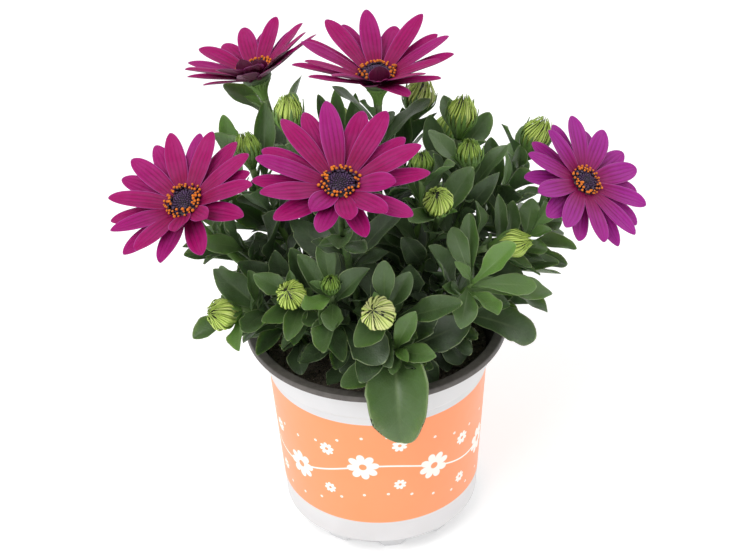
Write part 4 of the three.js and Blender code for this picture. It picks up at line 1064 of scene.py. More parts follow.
def add_disc(surfaces, bloom):
    """Dome of closed florets on the golden spiral, ringed by open florets with pollen on their tips."""
    size = DISC_SIZE.get(bloom.name, 1.0)
    place = head_place(bloom.head, bloom.facing, size)
    seat = seat_height(bloom, RECEPTACLE_RADIUS) / size
    profile = rounded([(0, seat - 2), (DOME_RADIUS + 2.2, seat - 0.9), (DOME_RADIUS + 2.3, seat + 0.3),
                       (DOME_RADIUS, seat + 1.2), (3.2, seat + 2.6), (0, seat + DOME_HEIGHT - 0.3)], 1.2, 4)
    surfaces.add_tubes(*lathe_rings(profile, 40), 0, place, tone=0.1)
    k, radius, angle = golden_spiral(CENTRE_FLORETS, DOME_RADIUS)
    bases = polar(radius, angle + bloom.seed, seat + DOME_HEIGHT - 0.6 - 2.2 * (radius / DOME_RADIUS) ** 2)
    axes = unit(bases * (1, 1, 0) + (0, 0, 9))
    knobs = spike_rings(bases, axes, KNOB, 0.62 + 0.75 * radius / DOME_RADIUS, 6)
    heights = steps_of(KNOB)
    surfaces.add_tubes(*knobs, 0, place, along=heights,
                       tone=0.25 + 0.5 * draw(k + bloom.seed)[:, None, None] * heights)
    for row, (count, reach, share) in enumerate(OPEN_FLORETS):
        k = np.arange(count)
        angle = spaced(count, 0.3 * row + bloom.seed, 1.0, bloom.seed + 5 * row)
        bases = polar(reach + scatter(1.1, bloom.seed + 9 * row + k), angle, seat + 0.9 - 0.35 * row)
        axes = unit(polar(1, angle, 3.6 - 0.9 * row + scatter(1.4, 80 + bloom.seed + k)))
        scales = 0.9 + scatter(0.42, bloom.seed + 30 + k)
        tubes = spike_rings(bases, axes, TUBE, scales, 10)
        surfaces.add_tubes(*tubes, 0, place, along=steps_of(TUBE), tone=0.05)
        ripe = draw(bloom.seed + 50 + 13 * row + k) < share
        grains = spike_rings(bases[ripe] + axes[ripe] * 1.5, axes[ripe], POLLEN, scales[ripe] * 0.88, 7)
        surfaces.add_tubes(*grains, 1, place, along=steps_of(POLLEN), tone=draw(k[ripe])[:, None, None])


# ---------------------------------------------------------------- buds

# least and most upright way that a bud faces, the strips and the mouth of a large bud at both, and small buds
UPRIGHT = (0.75, 0.98)
STRIPS = (34, 28)
BUD_MOUTH = (0.32, 0.64)
SMALL_BUD = 5.0
SMALL_BUD_STRIPS = 18

# how far and which way the crown of a bud that lies over leans
CROWN_LEAN = 0.5
CROWN_WAY = (-0.6, 0, 1)

# size, top and mouth of each whorl of furled rays as shares of the bud, and its strips as a share of the outer's
WHORLS = ((1.0, 0.47, 1.0, 1.0), (0.86, 0.51, 0.74, 0.75), (0.68, 0.5, 0.5, 0.5), (0.42, 0.46, 0.3, 0.3))

STRIP_GRID = (15, 6)
STRIP_THICKNESS = 0.45
STRIP_RIDGE = 0.45

# tone that paints the mouth of a bud dark as painted shade, and how green each bud still is; below zero it is
# creamy
MOUTH_SHADE_TONE = -4.0
GREEN_BUDS = {"young_right": 0.7, "young_middle": 0.85, "young_front": 0.9, "tall_left": 0.55, "low_right": 0.12,
              "behind": 0.4, "behind_right": 0.4, "front": -0.35, "behind_top": -0.25}


def add_bud(surfaces, bud):
    """Furled rays in whorls over a core whose top is painted dark as the shade in the mouth: a barrel of narrow
    strips that closes to a ragged crown.

    A strip's meridian is a belly 1 - 1.2 (t - 0.4)² that a smooth step closes to the mouth, and its width ends
    in a point by 1 - t³. The crown of a bud that lies over leans up and to the left.
    """
    radius, height = bud.radius, bud.height
    upright = smooth(*UPRIGHT, bud.facing[2])
    count, mouth = low_to_high(upright, STRIPS, BUD_MOUTH)
    count = round(count) if radius > SMALL_BUD else SMALL_BUD_STRIPS
    green = GREEN_BUDS.get(bud.name, 0.0)
    lean = (1 - upright) * CROWN_LEAN * max(0.0, -bud.facing[1])
    facing = unit(bud.facing + lean * vec(CROWN_WAY))
    for whorl, (size, top, tip, share) in enumerate(WHORLS):
        top -= 0.07 * whorl * (1 - upright)
        number = max(4, round(count * share))

        def meridian(t, size=size, top=top, tip=tip):
            belly = (1 - 1.2 * (t - 0.4) ** 2) * (0.84 + 0.16 * smooth(0.15, 0.5, t))
            closing = 1 - (1 - mouth * tip / size) * smooth(0.4, 1.1, t) ** 1.15
            return radius * size * 0.95 * belly * closing, height * (-0.36 + (top + 0.36) * t)

        def width(t, size=size, number=number):
            full = (1.35 - 0.33 * upright) * np.pi * radius * size / number
            return full * (1 - 0.45 * smooth(0.4, 0.95, t)) * np.maximum(0, 1 - t ** 3) + 0.05
        turns = spaced(number, whorl * 0.5 + bud.order, 0.9, 200 + 7 * bud.order + 31 * whorl)
        flare = radius * (0.08 * upright + (2 - upright) * scatter(0.2, turns + 9))
        add_round_blades(surfaces, 0, green + scatter(0.5, turns + bud.order), bud.head, facing, turns, STRIP_GRID,
                         meridian, width, STRIP_THICKNESS, STRIP_RIDGE, 0.74 + 0.28 * draw(turns + whorl) ** 0.7,
                         1 + scatter(0.17, turns + 5 + whorl), flare, 14 + scatter(24, bud.order + 3))
    # the core's top takes the mouth tone, which paints it dark as the shade deep in the crown
    core = rounded([(0, -0.4 * height), (0.6 * radius, -0.34 * height), (0.84 * radius, 0),
                    (0.45 * radius, 0.29 * height), (0, 0.28 * height)], radius * 0.3, 5)
    rings, starts, ends = lathe_rings(core, 20)
    surfaces.add_tubes(rings, starts, ends, 0, head_place(bud.head, facing), across=1.0, under=1.0,
                       tone=MOUTH_SHADE_TONE * (rings[..., 2] > 0.2 * height))


# ---------------------------------------------------------------- pot and soil


def pot_profile():
    """Outside of the pot from its pad to the rim's lip, and the dark liner over the rim and down to the floor."""
    top, lip, sill = POT_HEIGHT, RIM_RADIUS - WALL, FLOOR_HEIGHT + WALL
    outside = [
        (0, 0), (PAD_RADIUS, 0), (PAD_RADIUS + 1, FLOOR_HEIGHT),
        (FOOT_RADIUS - FOOT_WIDTH - TAPER, FLOOR_HEIGHT), (FOOT_RADIUS - FOOT_WIDTH, 0),
        (FOOT_RADIUS, 0), (FOOT_RADIUS + 1, BELT_HEIGHT - 1.5), (BELT_RADIUS, BELT_HEIGHT),
        (SHOULDER_RADIUS, SHOULDER_HEIGHT), (SHOULDER_RADIUS + SHOULDER_STEP, SHOULDER_HEIGHT + 1.4),
        (MOUTH_RADIUS + WALL - TAPER, top - WALL - 1.5 * TAPER), (lip - TAPER, top - WALL - TAPER),
    ]
    liner = [
        (lip, top - RIM_DROP), (RIM_RADIUS, top - RIM_DROP), (RIM_RADIUS - TAPER, top), (MOUTH_RADIUS, top),
        (SHOULDER_RADIUS - WALL, SHOULDER_HEIGHT), (BELT_RADIUS - WALL, BELT_HEIGHT + 0.8),
        (FOOT_RADIUS - 1, sill), (0, sill),
    ]
    return outside, liner


def add_pot(surfaces, sides):
    """The pot's profile carried round, with its foot ring raised where it is notched."""
    outside, liner = pot_profile()
    profile = rounded(outside + liner, 0.7, 5)
    rings, starts, ends = lathe_rings(profile, sides)
    angle = np.degrees(round_angles(sides))
    off_notch = np.abs((angle - FIRST_NOTCH + 180 / FEET) % (360 / FEET) - 180 / FEET)
    notch = 1 - smooth(NOTCH_ANGLE / 2 - 1.2, NOTCH_ANGLE / 2 + 1.2, off_notch)
    spread = np.hypot(rings[..., 0], rings[..., 1])
    in_foot = spread > FOOT_RADIUS - FOOT_WIDTH - 1
    rings[..., 2] = np.where(in_foot, np.maximum(rings[..., 2], NOTCH_HEIGHT * notch), rings[..., 2])
    lip = np.argmax((profile[:, 0] > RIM_RADIUS - WALL - TAPER) & (profile[:, 1] > POT_HEIGHT - RIM_DROP - 0.1))
    surfaces.add_tubes(rings, starts, ends, (np.arange(len(profile) - 3) >= lip - 1) * 1)


def wall_radius(z):
    """Radius of the wall's outside between the belt and the shoulder."""
    return BELT_RADIUS + (SHOULDER_RADIUS - BELT_RADIUS) * (z - BELT_HEIGHT) / (SHOULDER_HEIGHT - BELT_HEIGHT)


CRUMBS = 420
CRUMB = ((0, 0.35), (0.3, 0.78), (0.75, 0.85), (1.15, 0.55), (1.3, 0.2))

# height and length of the lumps in the peat's crown, and the seed of each
LUMPS = ((0.55, 2.6, 5), (0.45, 1.1, 9), (0.3, 0.5, 17))


def add_soil(surfaces):
    """Filling of peat with an uneven crown, and crumbs strewn over it on the golden spiral."""
    def inner(z):
        return wall_radius(z) - WALL - GAP
    floor = FLOOR_HEIGHT + WALL + GAP
    side = [(0, floor), (FOOT_RADIUS - 2, floor), (inner(11), 11), (inner(SHOULDER_HEIGHT), SHOULDER_HEIGHT),
            (inner(SHOULDER_HEIGHT) + 0.9, SOIL_HEIGHT - 0.6)]
    radii = np.linspace(inner(SHOULDER_HEIGHT) + 0.6, 0, 60)
    crown = [(r, SOIL_HEIGHT + SOIL_CROWN * (1 - r / radii[0]) - 0.2) for r in radii]
    profile = np.array(side + crown)
    rings, starts, ends = lathe_rings(profile, 180)
    loose = smooth(SOIL_HEIGHT - 2, SOIL_HEIGHT - 0.3, rings[..., 2])
    rings[..., 2] += loose * sum(height * ripple(rings, size, seed) for height, size, seed in LUMPS)
    surfaces.add_tubes(rings, starts, ends, tone=0.5)
    k, radius, angle = golden_spiral(CRUMBS, radii[0] - 1.5)
    size = 0.5 + 1.3 * draw(k + 0.3) ** 2
    bases = polar(radius, angle, SOIL_HEIGHT + SOIL_CROWN * (1 - radius / radii[0]) - 0.5 * size)
    axes = unit(np.stack([scatter(1, k + 0.1), scatter(1, k + 0.2), 0.7 + 0 * k], -1))
    rings, starts, ends = spike_rings(bases, axes, CRUMB, size, 7)
    rings += ripple(rings, 0.45, 23)[..., None] * size[:, None, None, None] * 0.22 * axes[:, None, None]
    surfaces.add_tubes(rings, starts, ends, tone=draw(k)[:, None, None])


# ---------------------------------------------------------------- finishes

WHITE = (1.0, 1.0, 1.0, 1.0)


def tint(*levels):
    """Screen colour from 0 to 255 in linear light: c / 12.92 when dark, else ((c + 0.055) / 1.055)^2.4."""
    level = vec(levels) / 255
    linear = np.where(level <= 0.04045, level / 12.92, ((level + 0.055) / 1.055) ** 2.4)
    return tuple(float(part) for part in linear) + (1.0,)


class Signal:
    """Output of a node. A sum, a product and the like of signals and numbers add a math node to its tree."""

    def __init__(self, graph, socket):
        self.graph, self.socket = graph, socket

    def __abs__(self):
        return self.graph.math("ABSOLUTE", self)

    def wave(self):
        """Cosine of the signal."""
        return self.graph.math("COSINE", self)

    def step(self, low, high, least=0.0, most=1.0):
        """Smooth step from least to most, between the signal's levels low and high."""
        facts = {"Value": self, "From Min": low, "From Max": high, "To Min": least, "To Max": most}
        return self.graph.node("ShaderNodeMapRange", facts, interpolation_type="SMOOTHSTEP")


# signals can be added, subtracted, multiplied and divided, with plain numbers on either side
for word, operation in (("add", "ADD"), ("sub", "SUBTRACT"), ("mul", "MULTIPLY"), ("truediv", "DIVIDE")):
    setattr(Signal, f"__{word}__", lambda self, other, kind=operation: self.graph.math(kind, self, other))
    setattr(Signal, f"__r{word}__", lambda self, other, kind=operation: self.graph.math(kind, other, self))


class Graph:
    """Adds nodes to a tree. An input takes a plain value or another node's signal."""

    def __init__(self, tree):
        self.tree = tree

    def fill(self, socket, value):
        """Gives a socket a plain value, or links it to a signal."""
        if isinstance(value, Signal):
            self.tree.links.new(value.socket, socket)
        else:
            socket.default_value = value

    def node(self, kind, inputs=None, output=0, **settings):
        """Adds a node with its settings and inputs, and gives the signal of one output."""
        node = self.tree.nodes.new(kind)
        for key, value in settings.items():
            setattr(node, key, value)
        for key, value in (inputs or {}).items():
            self.fill(node.inputs[key], value)
        return Signal(self, node.outputs[output])

    def math(self, operation, first, second=0.0, clamp=False):
        """Signal of one sum, product, wave or the like."""
        return self.node("ShaderNodeMath", {0: first, 1: second}, operation=operation, use_clamp=clamp)

    def most(self, first, second):
        """The larger of two signals."""
        return self.math("MAXIMUM", first, second)

    def mix(self, share, first, second):
        """First colour, with a share of it changed to the second."""
        return self.node("ShaderNodeMix", {0: share, 6: first, 7: second}, 2, data_type="RGBA")

    def layered(self, colour, *layers):
        """Colour with others laid over it in turn, each by its share."""
        for share, over in layers:
            colour = self.mix(share, colour, over)
        return colour

    def values(self):
        """Signals of the values that every point of a surface carries."""
        return [self.node("ShaderNodeAttribute", output=2, attribute_name=key) for key in Surfaces.VALUES]

    def place(self):
        """Object coordinates in millimetres."""
        place = self.node("ShaderNodeTexCoord", output=3)
        return self.node("ShaderNodeVectorMath", {0: place, "Scale": 1 / MM}, operation="SCALE")

    def noise(self, size, detail=2.0, place=None):
        """Soft noise whose lumps are about a size in millimetres."""
        facts = {"Vector": place or self.place(), "Scale": 1 / size, "Detail": detail}
        return self.node("ShaderNodeTexNoise", facts)


def label_of(key):
    """Label of a socket whose name is written with underscores."""
    return key.replace("_", " ").title().replace("Ior", "IOR")


def shared_group(name, output, **inputs):
    """Makes one node group of a function from input signals to one signal, for every material to place."""
    def share(build):
        @functools.lru_cache(maxsize=None)
        def group():
            tree = bpy.data.node_groups.new(name, "ShaderNodeTree")
            for key, default in inputs.items():
                kind = "NodeSocketColor" if isinstance(default, tuple) else "NodeSocketFloat"
                tree.interface.new_socket(label_of(key), in_out="INPUT", socket_type=kind).default_value = default
            kind = "NodeSocketColor" if output == "Colour" else "NodeSocketFloat"
            tree.interface.new_socket(output, in_out="OUTPUT", socket_type=kind)
            graph, given = Graph(tree), tree.nodes.new("NodeGroupInput").outputs
            found = build(graph, *[Signal(graph, given[label_of(key)]) for key in inputs])
            graph.fill(tree.nodes.new("NodeGroupOutput").inputs[0], found)
            return tree

        @functools.wraps(build)
        def placed(graph, *values):
            return graph.node("ShaderNodeGroup", dict(zip(map(label_of, inputs), values)), node_tree=group())
        return placed
    return share


@shared_group("Mottling", "Colour", colour=WHITE, patch_colour=WHITE, size=5.0, amount=0.5)
def mottled(graph, colour, patch_colour, size, amount):
    """Colour that shifts to a second one in soft patches, with a finer grain over them."""
    place = graph.place()
    scale = 1.0 / size
    coarse, fine = [graph.node("ShaderNodeTexNoise", {"Vector": place, "Scale": each, "Detail": 2.0})
                    for each in (scale, scale * 6.0)]
    share = (coarse * 0.75 + fine * 0.25).step(0.36, 0.64)
    return graph.mix(share * amount, colour, patch_colour)


@shared_group("Lengthwise Lines", "Mask", across=0.0, lines=8.0, sharpness=4.0)
def lengthwise_lines(graph, across, lines, sharpness):
    """Mask of fine lines that run along a blade: a power of the wave of its place across, a little unsteady."""
    wave = (across * (lines * math.pi) + graph.noise(6.0) * 1.8).wave()
    return graph.math("POWER", (wave + 1.0) * 0.5, sharpness, clamp=True)


@shared_group("Blade Rim", "Mask", across=0.0, along=0.0, width=0.1)
def blade_rim(graph, across, along, width):
    """Mask of a blade's thin edge, on both sides and round its tip."""
    return graph.most(abs(across).step(1.0 - width, 1.0), along.step(1.0 - width * 0.3, 1.0))


def new_material(name):
    """Material with one Principled shader, and its graph."""
    material = bpy.data.materials.new(name)
    material.use_nodes = True
    graph = Graph(material.node_tree)
    graph.material, graph.shader = material, material.node_tree.nodes["Principled BSDF"]
    return graph


def finished(graph, colour, roughness, height=None, depth=0.2, **plain):
    """Feeds the shader its colour, roughness and a bump of a depth in millimetres; the rest are plain values."""
    sockets = graph.shader.inputs
    graph.fill(sockets["Base Color"], colour)
    graph.fill(sockets["Roughness"], roughness)
    if height is not None:
        bump = graph.node("ShaderNodeBump", {"Height": height, "Distance": depth * MM, "Strength": 1.0})
        graph.fill(sockets["Normal"], bump)
    for key, value in plain.items():
        sockets[label_of(key)].default_value = value
    return graph.material


def glow(weight, reach, *radii):
    """Plain values for light that passes a thin blade, to a reach in millimetres in each colour."""
    return {"subsurface_weight": weight, "subsurface_scale": reach * MM, "subsurface_radius": radii}


def leaf_material(look):
    """Leaf: darker when old and, as painted shade, when low in the plant, lighter as painted light where it
    reaches out; pale along the midrib, side veins and edge, greyer below, and with soft greyish patches that are
    partly painted sheen.
    """
    graph = new_material("Leaf")
    across, along, tone, under = graph.values()
    # the tone picks darker colours for low leaves, partly for age and partly as painted shade, and lighter ones
    # where a leaf reaches out, as painted light
    colour = graph.layered(look.old_leaf, (tone.step(0.0, 0.55), look.leaf),
                           (tone.step(0.5, 1.0), look.young_leaf))
    # soft patches shifted to the greyer underside colour: partly real unevenness and partly painted bluish sheen
    colour = mottled(graph, colour, graph.mix(0.3, colour, look.leaf_underside), 8.0, 0.8)
    width = abs(across)
    midrib = width.step(0.1, 0.02) * along.step(0.95, 0.2)
    veins = ((along * 7.0 - width * 1.3) * TURN).wave().step(0.88, 1.0) * width.step(0.95, 0.5, 0.0, 0.5)
    lines, rim = graph.most(midrib * 0.24, veins * 0.05), blade_rim(graph, across, along, 0.08) * 0.75
    colour = graph.layered(colour, (under * 0.5, look.leaf_underside), (lines, look.vein), (rim, look.vein))
    grain = graph.noise(0.7, 3.0)
    return finished(graph, colour, grain.step(0.3, 0.7, 0.32, 0.46), grain - veins * 0.4, 0.15,
                    specular_ior_level=0.5, **glow(0.1, 1.2, 0.6, 1.0, 0.25))


def stem_material(look):
    """Stem and bracts: green in soft patches, with a pale edge on the bracts."""
    graph = new_material("Stem and Bract")
    across, along, tone, _ = graph.values()
    colour = graph.layered(look.old_leaf, (tone, look.leaf), (tone.step(0.5, 1.3), look.young_leaf))
    colour = mottled(graph, colour, graph.mix(0.5, colour, look.young_leaf), 2.5, 0.7)
    colour = graph.mix(blade_rim(graph, across, along, 0.3) * 0.3, colour, look.vein)
    return finished(graph, colour, 0.5, graph.noise(0.5, 3.0), 0.15)


def ray_material(look):
    """Ray: redder at its base, grooved lengthwise, lilac on its edge and in soft patches, partly as painted sheen,
    and dull with a dark stripe below; a curled ray gets a dark lower side as painted shade.
    """
    graph = new_material("Ray")
    across, along, tone, under = graph.values()
    ridges, fine = lengthwise_lines(graph, across, 5.0, 0.5), lengthwise_lines(graph, across, 11.0, 2.0)
    grooves = (1.0 - ridges) * along.step(1.0, 0.5, 0.05, 0.7)
    colour = graph.layered(look.ray, (tone.step(0.3, 1.0), look.violet_ray),
                           (along.step(0.7, 0.12), look.ray_base), (grooves, look.ray_line),
                           (fine * 0.14, look.ray_line))
    # soft patches and the edge shift to the lilac edge colour: partly the ray's own colour and partly painted
    # sheen
    colour = mottled(graph, colour, graph.mix(0.2, colour, look.ray_rim), 7.0, 0.4)
    colour = graph.mix(blade_rim(graph, across, along, 0.09) * 0.8, colour, look.ray_rim)
    stripe = abs(across).step(0.75, 0.25) * 0.75
    # painted shade: a tone over 1.2, which the curled rays have, darkens the lower side
    below = graph.layered(look.ray_underside, (stripe, look.ray_stripe), (fine * 0.4, look.ray_stripe),
                          (tone.step(1.2, 1.5), look.curled_ray))
    return finished(graph, graph.mix(under, colour, below), 0.5, ridges - fine * 0.3, 0.12,
                    specular_ior_level=0.18, **glow(0.1, 1.0, 1.0, 0.2, 0.7))


def floret_material(look):
    """Florets: almost black, with a purple cast on the closed ones and on the lips of the open ones."""
    graph = new_material("Floret")
    _, along, tone, _ = graph.values()
    share = graph.most(tone.step(0.1, 0.6), along.step(0.6, 1.0, 0.0, 0.5))
    return finished(graph, graph.mix(share, look.floret, look.floret_tip), 0.42, graph.noise(0.4), 0.08)


def pollen_material(look):
    """Pollen: orange grains, with brownish ones that are spent."""
    graph = new_material("Pollen")
    tone = graph.values()[2]
    colour = graph.mix(tone.step(0.5, 1.0, 0.0, 0.5), look.pollen, look.spent_pollen)
    return finished(graph, colour, 0.8, graph.noise(0.3), 0.2)


def bud_material(look):
    """Furled rays: yellow-green with pale ridges that carry a painted highlight, and painted shade low down, in
    the gaps, on the inner faces and in the mouth; creamy ones are dull purple low down.
    """
    graph = new_material("Furled Ray")
    across, along, tone, under = graph.values()
    width, lines = abs(across), lengthwise_lines(graph, across, 2.0, 2.0)
    colour = graph.layered(
        # darker low on the strips: painted shade; the same colour draws their fine lines
        look.bud, (along.step(0.8, 0.25, 0.0, 0.6), look.bud_line),
        # pale along each strip's ridge: partly its own colour and partly a painted highlight
        (width.step(0.7, 0.05, 0.0, 0.7), look.bud_rim),
        (tone.step(0.0, -0.6, 0.0, 0.8), look.cream), (tone.step(0.1, 1.0) * 0.8, look.green_cast),
        (tone.step(0.0, -0.3, 0.0, 0.3) * along.step(0.4, 0.1), look.dull_ray), (lines * 0.12, look.bud_line),
        # painted shade: darker at the strips' edges, in the gaps, and on their inner faces
        (width.step(0.7, 1.0, 0.0, 0.35), look.bud_gap), (under * along.step(0.75, 1.0, 0.6, 0.3), look.bud_gap),
        # painted shade: the dark mouth deep in the crown
        (tone.step(0.5 * MOUTH_SHADE_TONE, MOUTH_SHADE_TONE), look.bud_mouth))
    return finished(graph, colour, 0.45, lines, -0.08)


def peat_material(look):
    """Peat: dark brown fibres, some dry and pale, with a few light specks."""
    graph = new_material("Peat")
    tone = graph.values()[2]
    colour = mottled(graph, look.peat, look.dry_peat, 1.6, 0.6)
    colour = graph.layered(colour, (tone.step(0.6, 1.0, 0.0, 0.7), look.dry_peat),
                           (graph.noise(0.8, 1.0).step(0.68, 0.74) * 0.5, look.peat_speck))
    return finished(graph, colour, 0.9, graph.noise(0.6, 4.0), 0.7)


GARLAND_HEIGHT = 51.0
GARLAND_SWING = 6.0
GARLAND_WAVES = 3
PETALS = 8

# daisies in each printed row, its shift by a share of a step, their radius, and their rise over the garland
PRINTED_ROWS = ((9, 0.0, 7.5, 0.0), (9, 0.5, 3.6, 12.5), (9, 0.5, 3.0, -11.5), (27, 0.0, 0.8, 17.5),
                (27, 0.0, 0.8, -17.5))


def garland(graph, turn):
    """Height of the printed garland's line: a sine wave of the share of the way round the pot."""
    return graph.math("SINE", turn * (TURN * GARLAND_WAVES)) * GARLAND_SWING + GARLAND_HEIGHT


@shared_group("Daisy Row", "Mask", turn=0.0, height=0.0, count=9.0, shift=0.0, size=8.0, rise=0.0)
def daisy_row(graph, turn, height, count, shift, size, rise):
    """Mask of printed daisies evenly round the pot, at a height over or under the garland.

    In each cell the place is (u, v) from the daisy's middle. Its petals reach to 0.58 + 0.42 |cos 4a|^0.6, and
    its middle is left free.
    """
    place = turn * count + shift
    cell = graph.math("FLOOR", place) + 0.5
    u = (place - cell) / count * (TURN * (BELT_RADIUS + SHOULDER_RADIUS) / 2)
    v = height - garland(graph, (cell - shift) / count) - rise
    radius = graph.math("SQRT", u * u + v * v) / size
    angle = graph.math("ARCTAN2", v, u) + cell * 0.7
    petals = graph.math("POWER", abs((angle * (PETALS / 2)).wave()), 0.6)
    flower = (radius - (petals * 0.42 + 0.58)).step(0.03, -0.03)
    return flower * radius.step(0.21, 0.26)


def printed_flowers(graph, x, y, z):
    """Mask of the whole print: rows of daisies and dots, and a thin garland line that joins the large ones."""
    turn = graph.math("ARCTAN2", y, x) / TURN
    off_line = abs(z - garland(graph, turn))
    off_daisy = abs(graph.math("FRACT", turn * float(PRINTED_ROWS[0][0])) - 0.5)
    mask = off_line.step(0.55, 0.4) * off_daisy.step(0.07, 0.09)
    for count, *facts in PRINTED_ROWS:
        mask = graph.most(mask, daisy_row(graph, turn, z, float(count), *facts))
    return mask


def wall_material(look):
    """Outside of the pot: white plastic with a printed band, both a little cloudy."""
    graph = new_material("Pot Wall")
    place = graph.place()
    x, y, z = [graph.node("ShaderNodeSeparateXYZ", {0: place}, k) for k in range(3)]
    on_band = graph.math("GREATER_THAN", z, look.band_bottom / MM) * graph.math("LESS_THAN", z, look.band_top / MM)
    cloud = graph.noise(26.0)
    white = graph.mix(cloud.step(0.35, 0.65, 0.0, 0.4), look.wall, look.wall_cloud)
    printed = graph.layered(look.band, (cloud.step(0.35, 0.65, 0.0, 0.25), look.band_cloud),
                            (printed_flowers(graph, x, y, z), look.print_ink))
    return finished(graph, graph.mix(on_band, white, printed), cloud.step(0.3, 0.7, 0.3, 0.4),
                    graph.noise(9.0, 1.0), 0.12, specular_ior_level=0.5)


def liner_material(look):
    """Rim and inside of the pot: dark grey plastic, scuffed and a little dusty."""
    graph = new_material("Pot Liner")
    return finished(graph, mottled(graph, look.liner, look.dust, 3.0, 0.45), 0.48, graph.noise(0.8, 3.0), 0.1)


def floor_material(look):
    """Floor: pale and dull, and lit a little from itself so that it stays white under the plant."""
    return finished(new_material("Floor"), look.floor, 0.9, specular_ior_level=0.1, emission_color=WHITE,
                    emission_strength=look.floor_glow)


# ---------------------------------------------------------------- sizes and colours that a user may change


def colour_of(name, description, *levels):
    """Colour that a user may change, given by its screen levels."""
    return FloatVectorProperty(name=name, description=description, default=tint(*levels), size=4, min=0, max=1,
                               subtype="COLOR")


def length_of(name, description, size):
    """Length that a user may change, given in millimetres."""
    return FloatProperty(name=name, description=description, default=size * MM, unit="LENGTH", precision=4)


class PotLook(bpy.types.PropertyGroup):
    """Sizes and colours of the pot and its filling."""

    sides: IntProperty(name="Sides", description="Flats that the pot's round wall is made of", default=180, min=24)
    band_bottom: length_of("Band Bottom", "Height at which the printed band starts", 21.3)
    band_top: length_of("Band Top", "Height at which the printed band ends", 82)
    band: colour_of("Band", "Colour printed round the wall", 255, 152, 98)
    band_cloud: colour_of("Band Cloud", "Colour that the band shifts to in places", 246, 160, 112)
    wall: colour_of("Wall", "Colour of the plastic outside", 212, 212, 213)
    wall_cloud: colour_of("Wall Cloud", "Colour that the wall shifts to in places", 226, 226, 228)
    liner: colour_of("Liner", "Colour of the rim and the inside", 84, 79, 76)
    dust: colour_of("Dust", "Colour of the dust on the rim and the inside", 106, 101, 96)
    peat: colour_of("Peat", "Colour of the moist peat", 78, 72, 62)
    dry_peat: colour_of("Dry Peat", "Colour of dry fibres and crumbs", 112, 98, 82)
    peat_speck: colour_of("Peat Speck", "Colour of the few light specks in the peat", 190, 180, 160)
    print_ink: colour_of("Print", "Colour of the flowers printed on the band", 250, 246, 238)


class FoliageLook(bpy.types.PropertyGroup):
    """Colours of the leaves, stems and bracts."""

    # the darkness of the lowest leaves is partly their age and partly painted shade
    old_leaf: colour_of("Old Leaf", "Colour of the lowest leaves", 54, 70, 44)
    leaf: colour_of("Leaf", "Colour of full-grown leaves", 78, 104, 54)
    young_leaf: colour_of("Young Leaf", "Colour of the youngest leaves", 106, 144, 64)
    # also the tint of the soft leaf patches that are partly painted sheen
    leaf_underside: colour_of("Underside", "Colour of the lower side of a leaf", 98, 124, 86)
    vein: colour_of("Vein", "Colour of the midrib, veins and edge", 158, 178, 126)


class FlowerLook(bpy.types.PropertyGroup):
    """Colours of the blooms and buds."""

    ray: colour_of("Ray", "Colour of a ray's upper side", 163, 8, 100)
    violet_ray: colour_of("Violet Ray", "Colour that the rays of some blooms lean to", 160, 36, 144)
    ray_base: colour_of("Ray Base", "Colour of a ray near the disc", 134, 8, 62)
    ray_line: colour_of("Ray Line", "Colour of the grooves along a ray", 112, 8, 66)
    # the ray's lilac edge is partly its own colour and partly painted sheen
    ray_rim: colour_of("Ray Edge", "Colour of a ray's edge", 192, 92, 172)
    ray_underside: colour_of("Ray Underside", "Colour of a ray's lower side", 142, 84, 118)
    ray_stripe: colour_of("Ray Stripe", "Colour of the stripe on a ray's lower side", 92, 26, 60)
    # painted shade: the dark lower side of the rays curled over the disc
    curled_ray: colour_of("Curled Ray", "Colour of the lower side of a ray that curls over the disc", 74, 14, 46)
    floret: colour_of("Floret", "Colour of the florets' tubes", 24, 14, 24)
    floret_tip: colour_of("Floret Tip", "Colour of the closed florets' tips", 84, 54, 98)
    pollen: colour_of("Pollen", "Colour of fresh pollen", 232, 128, 30)
    spent_pollen: colour_of("Spent Pollen", "Colour of spent pollen", 170, 86, 34)
    bud: colour_of("Furled Ray", "Colour of the rays in a bud", 180, 212, 84)
    # painted shade low on the furled rays, and the real colour of their fine lines
    bud_line: colour_of("Furled Line", "Colour low on the furled rays and of their lines", 112, 142, 52)
    # partly the pale colour of the ridges and partly a painted highlight on them
    bud_rim: colour_of("Furled Ridge", "Colour of the ridges in a bud", 226, 238, 136)
    cream: colour_of("Cream", "Colour that furled rays lean to shortly before they open", 232, 228, 170)
    dull_ray: colour_of("Dull Ray", "Purple brown of the outer side of some furled rays", 132, 104, 78)
    green_cast: colour_of("Green Cast", "Colour that young furled rays lean to", 96, 138, 50)
    # painted shade: the dark colour in the gaps between the furled rays and on their inner faces
    bud_gap: colour_of("Gap", "Colour deep between the furled rays", 96, 120, 48)
    # painted shade: the dark mouth deep in a bud's crown
    bud_mouth: colour_of("Mouth", "Colour deep in the crown of a bud", 34, 40, 20)


class StageLook(bpy.types.PropertyGroup):
    """Floor, light and camera."""

    floor: colour_of("Floor", "Colour of the floor", 248, 248, 248)
    floor_glow: FloatProperty(name="Floor Glow", description="Light that the floor gives off itself",
                              default=0.26, min=0)
    fill: FloatProperty(name="Fill", description="Strength of the light from all round", default=0.76, min=0)
    key: FloatProperty(name="Key", description="Power of the large soft light", default=27, min=0, unit="POWER")
    elevation: FloatProperty(name="Elevation", description="Angle from which the camera looks down",
                             default=math.radians(35), unit="ROTATION")
    roll: FloatProperty(name="Roll", description="Angle by which the camera is turned about its view",
                        default=math.radians(-1.96), unit="ROTATION")
    distance: length_of("Distance", "Distance from the camera to the middle of the plant", 1041)
    target: length_of("Target", "Height of the point the camera looks at", 126)
    lens: FloatProperty(name="Lens", description="Focal length in millimetres", default=110.4, min=1)


